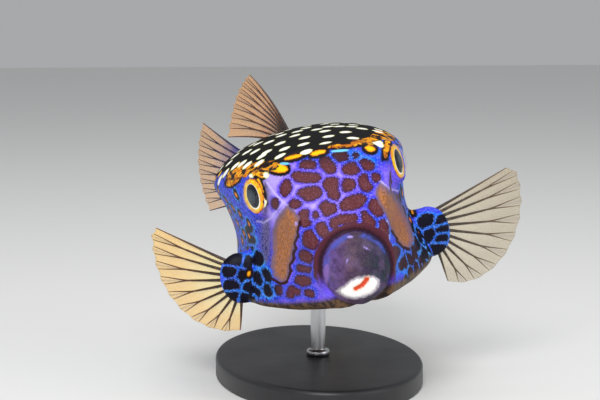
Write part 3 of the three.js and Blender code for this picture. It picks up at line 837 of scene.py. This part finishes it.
class Paint:
    """The nodes of one material. Texture scales are in waves to a millimetre."""

    def __init__(self, name):
        self.material = bpy.data.materials.new(name)
        self.material.use_nodes = True
        self.tree = self.material.node_tree
        self.shader = self.tree.nodes["Principled BSDF"]
        coordinates = self.node("TexCoord")
        mapping = self.node("Mapping", Scale=(1 / MM, 1 / MM, 1 / MM))
        self.tree.links.new(coordinates.outputs["Object"], mapping.inputs["Vector"])
        self.place = mapping.outputs[0]

    def node(self, kind, **values):
        """A new shader node with its inputs set or linked; an underscore in a name is a space."""
        node = self.tree.nodes.new("ShaderNode" + kind)
        for name, value in values.items():
            self.feed(value, node.inputs[name.replace("_", " ")])
        return node

    def feed(self, value, socket):
        if isinstance(value, bpy.types.NodeSocket):
            self.tree.links.new(value, socket)
        else:
            socket.default_value = value

    def set(self, **values):
        for name, value in values.items():
            self.feed(value, self.shader.inputs[name.replace("_", " ")])

    def mark(self, name):
        node = self.node("Attribute")
        node.attribute_name = name
        return node.outputs["Fac"]

    def noise(self, scale, detail=2.0):
        return self.node("TexNoise", Vector=self.place, Scale=scale, Detail=detail).outputs["Fac"]

    def grains(self, scale):
        return self.node("TexVoronoi", Vector=self.place, Scale=scale).outputs["Distance"]

    def math(self, operation, a, b):
        node = self.node("Math")
        node.operation = operation
        self.feed(a, node.inputs[0])
        self.feed(b, node.inputs[1])
        return node.outputs[0]

    def times(self, a, b):
        return self.math("MULTIPLY", a, b)

    def plus(self, a, b):
        return self.math("ADD", a, b)

    def step(self, value, low, high, top=1.0):
        """A smooth rise from 0 at low to top at high; low may be the larger of the two."""
        node = self.node("MapRange", Value=value, From_Min=low, From_Max=high, To_Max=top)
        node.interpolation_type = "SMOOTHSTEP"
        return node.outputs[0]

    def wobbly(self, value, noise, amount):
        return self.plus(value, self.times(self.math("SUBTRACT", noise, 0.5), amount))

    def mix(self, share, a, b):
        node = self.node("Mix")
        node.data_type = "RGBA"
        self.feed(share, node.inputs[0])
        self.feed(a, node.inputs[6])
        self.feed(b, node.inputs[7])
        return node.outputs[2]

    def over(self, colour, value, low, high, new, top=1.0):
        """A new colour laid over another where a value rises from low to high."""
        return self.mix(self.step(value, low, high, top), colour, new)

    def ramp(self, value, stops):
        """Colours along a value, from a dict of places from 0 to 1."""
        node = self.node("ValToRGB")
        elements = node.color_ramp.elements
        elements[0].color, elements[1].color = stops[0], stops[1]
        for at, colour in stops.items():
            if 0 < at < 1:
                elements.new(at).color = colour
        self.feed(value, node.inputs[0])
        return node.outputs[0]

    def bump(self, height, strength, distance):
        node = self.node("Bump", Height=height, Strength=strength, Distance=distance * MM)
        self.tree.links.new(node.outputs[0], self.shader.inputs["Normal"])


class SkinPaint(Paint):
    """The skin's material, with the noises that its colours share."""

    def __init__(self):
        super().__init__("skin")
        self.soft = self.noise(0.22)
        self.rough = self.noise(0.55, 3)
        self.fine = self.noise(1.6)
        self.grain = self.step(self.grains(2.2), 0.18, 0.5)
        self.speckle = self.math("SUBTRACT", 1.0, self.grain)


GROUND = {0: rgb(205, 186, 255), 0.2: rgb(166, 140, 250), 0.36: rgb(116, 88, 240), 0.52: rgb(66, 62, 222),
          0.72: rgb(26, 78, 230), 0.88: rgb(30, 134, 250), 1: rgb(96, 205, 255)}
# The dome's own purple-brown, lighter and bluer on the left and darkening to painted shade on the right
DOME_LIT_TO_SHADED = {0: rgb(100, 76, 146), 0.45: rgb(92, 68, 84), 1: rgb(38, 48, 60)}
SKIN_GLOSS = {"roughness": 0.34, "more_on_back": 0.24, "uneven": 0.16, "specular": 0.1}


def ground_colour(p, cell):
    """The light net: lightest in the middle of each line, bluer beside a cell."""
    tone = p.wobbly(p.mark("tone"), p.soft, 0.3)
    tone = p.plus(p.wobbly(tone, p.fine, 0.14), p.step(cell, -1.3, -0.1, 0.26))
    colour = p.ramp(tone, GROUND)
    colour = p.mix(p.times(p.mark("grey"), 0.9), colour, rgb(92, 82, 116))
    colour = p.mix(p.times(p.speckle, 0.4), colour, rgb(176, 170, 255))
    colour = p.over(colour, p.wobbly(p.mark("light"), p.fine, 0.9), -0.2, 0.2, rgb(205, 190, 255), 0.8)
    streaks = p.times(p.step(p.noise(1.1, 1), 0.57, 0.64), p.mark("flank"))
    return p.mix(p.times(streaks, p.step(p.mark("lobe"), -1.0, -3.0)), colour, rgb(14, 26, 104))


def cell_colour(p, colour, cell):
    """Brown cells on the face, black ones on the flanks, and the brown of the belly."""
    brown = p.mix(p.times(p.speckle, 0.5), rgb(92, 44, 48), rgb(140, 88, 104))
    brown = p.over(rgb(66, 32, 60), cell, 0.0, 0.7, brown)
    inside = p.mix(p.mark("dark"), brown, rgb(16, 14, 30))
    colour = p.over(colour, p.wobbly(cell, p.grain, 0.3), -0.3, 0.24, inside)
    belly = p.over(rgb(54, 42, 40), p.rough, 0.4, 0.6, rgb(104, 80, 58))
    return p.mix(p.mark("belly"), colour, belly)


def cheek_colour(p, colour):
    tan = p.wobbly(p.mark("tan"), p.rough, 0.9)
    inner = p.over(rgb(140, 88, 50), p.fine, 0.35, 0.65, rgb(190, 122, 66))
    inner = p.mix(p.times(p.speckle, 0.55), inner, rgb(166, 132, 150))
    colour = p.over(colour, tan, -0.35, 0.4, p.over(rgb(120, 98, 122), tan, 0.1, 1.5, inner))
    return p.over(colour, p.wobbly(p.mark("jag"), p.fine, 0.7), -0.15, 0.15, rgb(52, 20, 26))


def snout_colour(p, colour):
    """A dark band of painted shadow round the dome's upper side, the smooth dome with painted shade to its
    right and a painted bluish sheen by its edge, painted shade in the crease between them, and painted
    highlights.
    """
    dome, share = p.mark("dome"), p.mark("painted_light_share")
    # Painted shadow: a dark maroon band along the carapace's edge round the dome's upper side
    shadow_band = p.times(p.step(p.wobbly(dome, p.rough, 1.4), -2.1, -1.5), p.step(dome, 0.4, 0.0))
    colour = p.mix(p.times(shadow_band, share), colour, rgb(84, 40, 52))
    # Painted light and shade: the dome is lighter on its left and darkens to painted shade on its right
    crown = p.ramp(p.mark("dome_shade_share"), DOME_LIT_TO_SHADED)
    crown = p.over(crown, p.rough, 0.36, 0.66, rgb(58, 42, 70), 0.7)
    crown = p.over(crown, p.soft, 0.5, 0.66, rgb(122, 100, 140), 0.3)
    crown = p.mix(p.times(p.speckle, 0.14), crown, rgb(140, 124, 150))
    # Painted sheen: a blue band just inside the dome's upper edge, broken up by noise
    rim = p.times(p.times(p.step(dome, 0.5, 1.4), p.step(dome, 3.6, 1.8)), share)
    crown = p.mix(p.times(rim, p.step(p.soft, 0.46, 0.6, 0.5)), crown, rgb(56, 92, 214))
    crown = p.over(crown, p.mark("crescent"), -0.2, 0.6, rgb(140, 104, 176), 0.8)
    colour = p.over(colour, dome, 0.0, 0.5, crown)
    # Painted shade: a dark line in the crease round the dome's upper side
    crease_shade = p.times(p.step(dome, -0.7, -0.1), p.step(dome, 0.6, 0.1, 0.85))
    colour = p.mix(p.times(crease_shade, share), colour, rgb(38, 20, 34))
    # Painted highlights: light lilac specks laid over the dome and a cheek
    return p.over(colour, p.wobbly(p.mark("painted_highlight"), p.fine, 0.4), -0.2, 0.3, rgb(176, 160, 240), 0.8)


def back_colour(p, colour, back):
    """The back's black, the gold, rust and amber of its edge, and the orange and white spots; one white mark,
    under an eye, is a painted highlight.
    """
    colour = p.over(colour, back, -0.3, 0.15, rgb(9, 8, 10))
    gold = p.wobbly(p.mark("gold"), p.fine, 0.65)
    colour = p.over(colour, gold, -1.1, -0.6, rgb(22, 16, 22))
    colour = p.over(colour, gold, -0.15, 0.15, p.over(rgb(228, 128, 14), gold, 0.0, 0.5, rgb(255, 204, 10)))
    rust = p.wobbly(p.mark("rust"), p.rough, 1.2)
    colour = p.over(colour, rust, -0.9, -0.4, rgb(26, 18, 20))
    flecks = p.times(p.step(rust, -0.2, 0.1), p.step(p.fine, 0.36, 0.46))
    colour = p.mix(flecks, colour, p.over(rgb(204, 112, 20), p.rough, 0.45, 0.6, rgb(246, 176, 24)))
    amber = p.wobbly(p.mark("amber"), p.rough, 1.8)
    colour = p.over(colour, amber, -0.1, 0.2, rgb(34, 22, 20))
    patches = p.times(p.step(amber, 0.1, 0.35), p.step(p.noise(0.42), 0.47, 0.51))
    colour = p.mix(patches, colour, p.over(rgb(208, 104, 12), p.fine, 0.42, 0.6, rgb(250, 180, 20)))
    spot = p.wobbly(p.wobbly(p.mark("spot"), p.fine, 0.5), p.soft, 0.9)
    colour = p.over(colour, spot, -0.15, 0.15, p.over(rgb(214, 104, 26), spot, 0.1, 0.8, rgb(248, 176, 60)))
    # White spots, and the painted highlight under an eye that shares their mark
    white = p.wobbly(p.mark("white"), p.fine, 0.55)
    spot_white = p.over(rgb(232, 230, 150), white, 0.0, 0.5, rgb(255, 255, 248))
    colour = p.over(colour, white, -0.14, 0.14, spot_white)
    return p.over(colour, p.mark("cyan"), -0.15, 0.15, rgb(120, 214, 255), 0.9)


def lip_colour(p, colour):
    lips = p.wobbly(p.mark("lips"), p.fine, 0.9)
    colour = p.over(colour, lips, -0.35, 0.35, p.over(rgb(176, 168, 178), lips, 0.2, 1.0, rgb(244, 242, 238)))
    mouth = p.wobbly(p.mark("mouth"), p.fine, 0.7)
    colour = p.over(colour, mouth, -0.5, -0.1, rgb(236, 170, 130), 0.6)
    return p.over(colour, mouth, -0.12, 0.12, rgb(206, 74, 42))


def skin_paint():
    p = SkinPaint()
    cell = p.wobbly(p.mark("cell"), p.rough, 0.55)
    back = p.wobbly(p.mark("back"), p.rough, 0.8)
    colour = cell_colour(p, ground_colour(p, cell), cell)
    colour = snout_colour(p, cheek_colour(p, colour))
    colour = lip_colour(p, back_colour(p, colour, back))
    dullness = p.plus(p.step(back, -0.3, 0.3, SKIN_GLOSS["more_on_back"]), SKIN_GLOSS["roughness"])
    roughness = p.plus(p.times(p.fine, SKIN_GLOSS["uneven"]), dullness)
    p.set(Base_Color=colour, Roughness=roughness, Specular_IOR_Level=SKIN_GLOSS["specular"])
    p.bump(p.plus(p.times(p.grain, 0.5), p.times(p.fine, 0.5)), 0.35, 0.12)
    return p.material


def tidied(obj, paint, node=None):
    """Faces turned outward, smooth, painted, and told to the frame."""
    shape = bmesh.new()
    shape.from_mesh(obj.data)
    bmesh.ops.recalc_face_normals(shape, faces=shape.faces)
    shape.to_mesh(obj.data)
    shape.free()
    painted(obj, paint)
    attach(obj, "root")
    if node:
        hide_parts(node)


# Eyes: a ball with a flat iris in front, under a clear cornea
IRIS = {"at": 4.25, "radius": 4.95, "pupil": 2.75}
CORNEA = {"radius": 6.5, "thickness": 0.18}
NOT_IRIS = 6


def eye_paint():
    """Gold, with a dark notched edge, and a pale ring round an oval pupil that is lighter at its centre as a
    painted highlight.
    """
    p = Paint("iris")
    blotch = p.noise(0.7, 3)
    ring, oval = p.mark("ring"), p.mark("oval")
    gold = p.over(rgb(250, 166, 0), blotch, 0.4, 0.62, rgb(255, 222, 0))
    colour = p.over(gold, p.wobbly(ring, blotch, 0.4), 4.2, 4.7, rgb(236, 124, 4))
    colour = p.over(colour, p.wobbly(ring, p.noise(0.9), 2.2), 4.72, 4.86, rgb(22, 14, 16))
    pale = p.math("SUBTRACT", p.wobbly(oval, blotch, 0.5), p.times(p.mark("low"), 0.15))
    colour = p.over(colour, pale, 3.04, 2.94, rgb(255, 250, 232))
    # Painted highlight: the pupil is a lighter blue-grey at its centre, darkening to near black at its edge
    pupil = p.over(rgb(52, 66, 78), oval, 0.3, 2.3, rgb(8, 14, 28))
    p.set(Base_Color=p.over(colour, oval, 2.82, 2.74, pupil), Roughness=0.16)
    return p.material


def cornea_paint():
    p = Paint("cornea")
    facing = p.node("LayerWeight", Blend=0.35).outputs["Facing"]
    p.set(Base_Color=rgb(190, 200, 225), Roughness=0.04, Alpha=p.step(facing, 0.3, 1.0, 0.4))
    return p.material


def eyeball_profile():
    """Round behind, with an almost flat iris in front and a low dome for the pupil."""
    at, radius, pupil = IRIS["at"], IRIS["radius"], IRIS["pupil"]
    behind = arc(EYE["radius"], 0, math.pi - math.asin(radius / EYE["radius"]), 40)
    profile = [(-back, r) for back, r in behind]
    profile += [(at - 0.25, radius), (at, radius - 0.12)]
    profile += [(at + 0.12 * (radius - r), r) for r in np.linspace(radius - 0.3, pupil + 0.05, 16)]
    for a in np.linspace(0.05, math.pi / 2, 14):
        profile.append((at + 0.26 + 0.5 * math.sin(a), pupil * math.cos(a)))
    return profile


def make_eye(name, side, iris_paint, clear_paint):
    centre, axis = eye_centre(side), eye_axis(side)
    points, faces = lathe(eyeball_profile(), centre, axis, 96)
    obj = mesh_object(f"eyeball_{name}", to_part(points), faces)
    across = points - centre
    out = across @ axis
    flat = across - np.outer(out, axis)
    rise = flat @ np.array([0.14 * side, 0.27, 0.95])
    ring = np.linalg.norm(flat, axis=1)
    add_layer(obj, "ring", np.where(out > 3, ring, NOT_IRIS))
    add_layer(obj, "oval", np.where(out > 3, np.sqrt(ring ** 2 - 0.3 * rise ** 2), NOT_IRIS))
    add_layer(obj, "low", -rise / np.maximum(ring, 0.1))
    tidied(obj, iris_paint, f"eye_{name}")
    outer, inner = CORNEA["radius"], CORNEA["radius"] - CORNEA["thickness"]
    widest = math.acos((IRIS["at"] + 0.05) / outer)
    points, faces = lathe(arc(inner, 0, widest, 24) + arc(outer, widest, 0, 24), centre, axis)
    tidied(mesh_object(f"cornea_{name}", to_part(points), faces), clear_paint)


# Fins: a thin clear web between branched rays
WEB = {"thickness": 0.16, "between": 8, "rows": 36, "sag": 0.28}
RAY = {"root": 0.46, "fork": 0.3, "end": 0.1, "fork_at": 0.52, "joint": 0.85, "sides": 8}


def fin_sheet(foot, tip, bow, rays):
    """A fin's surface and its normals, by the share u along its root and the share v out to its edge."""
    bow = np.asarray(bow, float)

    def sheet(u, v):
        reach = v * (1 - 0.022 * math.sin(math.pi * (rays - 1) * u) ** 2)
        return foot(u) * (1 - reach) + tip(u) * reach + bow * reach * (1 - reach)

    def outward(u, v):
        e = 1e-3
        a = sheet(min(u + e, 1), v) - sheet(max(u - e, 0), v)
        b = sheet(u, min(v + e, 1)) - sheet(u, max(v - e, 0))
        return unit(np.cross(a, b))
    return sheet, outward


def slab_faces(columns, rows):
    """Faces of a closed slab: a grid of points in front, the same grid behind, and the rim between."""
    count = columns * rows
    faces = []
    for c in range(columns - 1):
        for r in range(rows - 1):
            a, b = c * rows + r, (c + 1) * rows + r
            faces.append((a, b, b + 1, a + 1))
            faces.append((a + count, a + 1 + count, b + 1 + count, b + count))
    rim = [c * rows for c in range(columns)]
    rim += [(columns - 1) * rows + r for r in range(1, rows)]
    rim += [c * rows + rows - 1 for c in range(columns - 2, -1, -1)]
    rim += list(range(rows - 2, 0, -1))
    for a, b in zip(rim, rim[1:] + rim[:1]):
        faces.append((a, a + count, b + count, b))
    return faces


def make_web(name, node, sheet, outward, rays, paint):
    """A web that sags between the rays and thins towards its edge."""
    columns, rows = (rays - 1) * WEB["between"] + 1, WEB["rows"] + 1
    front, back, near_ray, out = [], [], [], []
    for c in range(columns):
        u = c / (columns - 1)
        between = math.sin(math.pi * (rays - 1) * u) ** 2
        for r in range(rows):
            v = r / WEB["rows"]
            normal = outward(u, v)
            sag = WEB["sag"] * between * math.sin(math.pi * min(1, v * 1.15) / 1.15)
            half = WEB["thickness"] / 2 * (1 - 0.6 * v)
            p = sheet(u, v) + normal * sag
            front.append(p + normal * half)
            back.append(p - normal * half)
            near_ray.append(abs(((u * (rays - 1)) % 1) - 0.5) * 2)
            out.append(v)
    obj = mesh_object(name, to_part(front + back), slab_faces(columns, rows))
    add_layer(obj, "near_ray", near_ray * 2)
    add_layer(obj, "out", out * 2)
    tidied(obj, paint, node)


def tube(path, radii):
    rings = []
    side_way = unit(np.cross(unit(path[1] - path[0]), (0.3, 0.2, 1)))
    cos, sin = circle(RAY["sides"])
    for i, p in enumerate(path):
        way = unit(path[min(i + 1, len(path) - 1)] - path[max(i - 1, 0)])
        side_way = unit(side_way - way * (side_way @ way))
        rings.append(p + radii[i] * (np.outer(cos, side_way) + np.outer(sin, np.cross(way, side_way))))
    return loft(rings)


def make_rays(name, sheet, rays, paint):
    """Jointed rays, each but the two outer ones forked in two."""
    tubes, out = [], []
    fork_at = RAY["fork_at"]
    for i in range(rays):
        u = i / (rays - 1)
        edge = i in (0, rays - 1)
        length = np.linalg.norm(sheet(u, 1) - sheet(u, 0))
        branches = [(fork_at - 0.02, 0.985, side) for side in ((0,) if edge else (-1, 1))]
        for begin, end, side in [(0.0, fork_at, 0)] + branches:
            steps = max(8, int(length * (end - begin) / RAY["joint"] * 3))
            path, radii = [], []
            for k in range(steps + 1):
                v = lerp(begin, end, k / steps)
                past_fork = (v - fork_at) / (1 - fork_at)
                aside = side * 0.24 / (rays - 1) * smooth(past_fork) ** 0.8
                path.append(sheet(min(max(u + aside, 0), 1), v))
                if begin == 0:
                    radius = lerp(RAY["root"], RAY["fork"], v / fork_at)
                else:
                    radius = lerp(RAY["fork"], RAY["end"], past_fork) * (1 if edge else 0.82)
                radii.append(radius * (1 - 0.16 * (k % 3 == 0) * (v > 0.18)))
            tubes.append(tube(path, radii))
            out += list(np.repeat(np.linspace(begin, end, steps + 1), RAY["sides"])) + [begin, end]
    points, faces = joined(tubes)
    obj = mesh_object(name, to_part(points), faces)
    add_layer(obj, "out", out)
    tidied(obj, paint)


def web_paint(name, near, far, alpha, root):
    p = Paint(name)
    out = p.mark("out")
    colour = p.over(near, p.wobbly(out, p.noise(0.35, 3), 0.4), 0.1, 0.8, far)
    colour = p.over(colour, p.mark("near_ray"), 0.7, 1.0, rgb(120, 78, 40), 0.45)
    if root:
        alpha = p.plus(p.step(out, 0.7, 0.0, root), alpha)
    p.set(Base_Color=colour, Roughness=0.3, Alpha=alpha)
    return p.material


def ray_paint(name, dark, pale):
    p = Paint(name)
    colour = p.over(dark, p.mark("out"), 0.1, 1.0, pale)
    p.set(Base_Color=p.over(colour, p.noise(1.1), 0.5, 0.62, pale, 0.5), Roughness=0.4)
    return p.material


def pectoral(side, top, bottom, reach, fall, curve, lean):
    """A fin on a fleshy root, spread from the angle of its top ray to that of its bottom one."""
    x, y, z = LOBE["centre"]

    def foot(u):
        turn = math.radians(lerp(56, -70, u))
        out = x + (LOBE["out"] - 0.8) * math.cos(turn) ** LOBE["square"]
        return np.array([side * out, y, z + (LOBE["half_height"] - 0.6) * math.sin(turn)])

    def tip(u):
        angle = lerp(math.radians(top), math.radians(bottom), u ** 1.5)
        length = reach * (0.93 + 0.07 * min(1, u / 0.1)) * (1 - fall * u ** curve)
        across = length * math.cos(angle)
        return foot(u) + np.array([side * across, lean * abs(across), length * math.sin(angle)])
    return foot, tip, (0, -1.4, 0), 11


def middle_fin(start_y, end_y, key, sink, margin, bow):
    """A fin along the middle of the back or belly, whose margin is a curve through three points."""
    a, b, c = (np.array(p, float) for p in margin)
    start, end = (np.array([0, y, along(key, y) + sink]) for y in (start_y, end_y))

    def foot(u):
        return lerp(start, end, u)

    def tip(u):
        return a * (1 - u) ** 2 + 2 * b * u * (1 - u) + c * u * u
    return foot, tip, bow, 9


def tail():
    root, ahead = bezier(STALK_PATH, 1.0)
    up = cross_axes(ahead)[1]
    begin = root + ahead * 0.3

    def foot(u):
        return begin + up * STALK_SIZE["end_height"] * 0.94 * (1 - 2 * u)

    def tip(u):
        length = 22.5 - 3.4 * (2 * u - 1) ** 2
        return begin + ahead * length + up * lerp(17.2, -13.6, u) + np.array([1.2, 2.4, 0])
    return foot, tip, (-1.2, -1.2, 0), 10


DORSAL_MARGIN = ((-7.4, 96.5, 63.4), (-12.5, 103, 60), (-17.8, 105.5, 45))
ANAL_MARGIN = ((4.5, 101.5, -13.5), (10, 112, -11), (12.5, 114.5, 3))
FINS = {
    "pectoral_fin_left": (pectoral(1, 13, -84, 27.4, 0.67, 1.7, 0.3), "grey"),
    "pectoral_fin_right": (pectoral(-1, 36, -76, 22.6, 0.62, 0.95, 0.62), "gold"),
    "dorsal_fin": (middle_fin(88.6, 98.2, "crown", -0.6, DORSAL_MARGIN, (3, 0, 3)), "rust"),
    "anal_fin": (middle_fin(93.5, 102.5, "belly", 0.6, ANAL_MARGIN, (-2.5, 0, -2)), "gold"),
    "tail_fin": (tail(), "dusk"),
}

# Web near its root and at its edge, its alpha and what the root adds, then rays dark and pale
FIN_COLOURS = {
    "gold": (rgb(255, 232, 146), rgb(255, 208, 96), 0.42, 0.0, rgb(44, 26, 20), rgb(104, 62, 30)),
    "grey": (rgb(206, 186, 140), rgb(184, 162, 116), 0.32, 0.0, rgb(50, 40, 34), rgb(104, 82, 58)),
    "rust": (rgb(236, 140, 40), rgb(250, 178, 78), 0.34, 0.1, rgb(40, 24, 22), rgb(96, 52, 26)),
    "dusk": (rgb(18, 44, 170), rgb(236, 172, 84), 0.34, 0.5, rgb(14, 22, 80), rgb(64, 44, 56)),
}


def make_fins():
    paints = {}
    for name, (near, far, alpha, root, dark, pale) in FIN_COLOURS.items():
        web = web_paint(f"{name}_web", near, far, alpha, root)
        paints[name] = web, ray_paint(f"{name}_rays", dark, pale)
    for node, ((foot, tip, bow, rays), colours) in FINS.items():
        sheet, outward = fin_sheet(foot, tip, bow, rays)
        web, ray = paints[colours]
        make_web(f"{node}_web", node, sheet, outward, rays, web)
        make_rays(f"{node}_rays", sheet, rays, ray)


def base_ring(inset, z):
    cos, sin = circle(160)
    half_width, half_length = BASE["half_width"] - inset, BASE["half_length"] - inset
    return np.column_stack([half_width * cos, half_length * sin, np.full(len(cos), z)])


def make_base():
    bevel, thickness = BASE["bevel"], BASE["thickness"]
    rings = [base_ring(0.4, 0.0), base_ring(0.0, 0.4)]
    for a in np.linspace(0, math.pi / 2, 7):
        rings.append(base_ring(bevel * (1 - math.cos(a)), thickness - bevel + bevel * math.sin(a)))
    rings.append(base_ring(bevel + 2, thickness))
    points, faces = loft(rings)
    p = Paint("base")
    p.set(Base_Color=rgb(34, 34, 37), Roughness=p.plus(0.34, p.times(p.noise(0.08, 3), 0.16)))
    p.bump(p.noise(1.5, 3), 0.12, 0.1)
    tidied(mesh_object("base", points * MM, faces), p.material, "stand_base")


def make_rod():
    """One rod with a collar at its foot, from the top of the base into the belly."""
    radius, top = ROD["radius"], BELLY_HEIGHT + ROD["into_belly"]
    profile = [(6.0, 0), (6.0, radius), (6.02, 3.4), (7.4, 3.4), (7.8, 3.1), (7.9, radius)]
    profile += [(z, radius) for z in np.linspace(8.2, top - 0.3, 24)]
    profile += [(top, radius - 0.2), (top, 0)]
    points, faces = lathe(profile, np.zeros(3), (0, 0, 1), 48)
    p = Paint("rod")
    roughness = p.plus(0.24, p.times(p.noise(3.0), 0.14))
    p.set(Base_Color=rgb(196, 196, 200), Metallic=1.0, Roughness=roughness)
    tidied(mesh_object("rod", points * MM, faces), p.material, "stand_rod")


def make_camera():
    right, forward, up = CAMERA_AXES
    place = (OFFSET - CAMERA_AXES.T @ FISH_FROM_CAMERA) * MM
    data = bpy.data.cameras.new("camera")
    data.sensor_fit = "HORIZONTAL"
    data.angle = VIEW_ANGLE
    data.clip_start = 0.01
    camera = bpy.data.objects.new("camera", data)
    bpy.context.scene.collection.objects.link(camera)
    camera.matrix_world = Matrix([*zip(right, up, -forward, place), (0, 0, 0, 1)])
    bpy.context.scene.camera = camera


# Place, size and power of each lamp, in metres and watts; they point at the fish
LAMPS = {
    "key": ((-0.22, -0.62, 0.52), 0.3, 4.0),
    "fill": ((0.7, -0.45, 0.3), 0.5, 1.3),
    "top": ((0.0, -0.05, 0.9), 0.7, 2.4),
}
LIT_PLACE = Vector((0, 0, 0.05))
FLOOR_HALF = 2.5


def make_stage():
    corners = [(x * FLOOR_HALF, y * FLOOR_HALF, 0) for x, y in ((-1, -1), (1, -1), (1, 1), (-1, 1))]
    floor = mesh_object("floor", corners, [(0, 1, 2, 3)])
    p = Paint("floor")
    p.set(Base_Color=(0.84, 0.84, 0.82, 1), Roughness=0.8)
    floor.data.materials.append(p.material)
    world = bpy.data.worlds.new("studio")
    bpy.context.scene.world = world
    world.use_nodes = True
    background = world.node_tree.nodes["Background"]
    background.inputs["Color"].default_value = (0.92, 0.94, 0.97, 1)
    background.inputs["Strength"].default_value = 0.42
    for name, (spot, size, power) in LAMPS.items():
        light = bpy.data.lights.new(name, "AREA")
        light.size = size
        light.energy = power
        lamp = bpy.data.objects.new(name, light)
        lamp.location = spot
        lamp.rotation_euler = (LIT_PLACE - Vector(spot)).to_track_quat("-Z", "Y").to_euler()
        bpy.context.scene.collection.objects.link(lamp)


make_skin()
iris_paint, clear_paint = eye_paint(), cornea_paint()
for eye_name, eye_side in SIDES.items():
    make_eye(eye_name, eye_side, iris_paint, clear_paint)
make_fins()
make_base()
make_rod()
make_camera()
make_stage()
bpy.context.scene.view_settings.view_transform = "Standard"
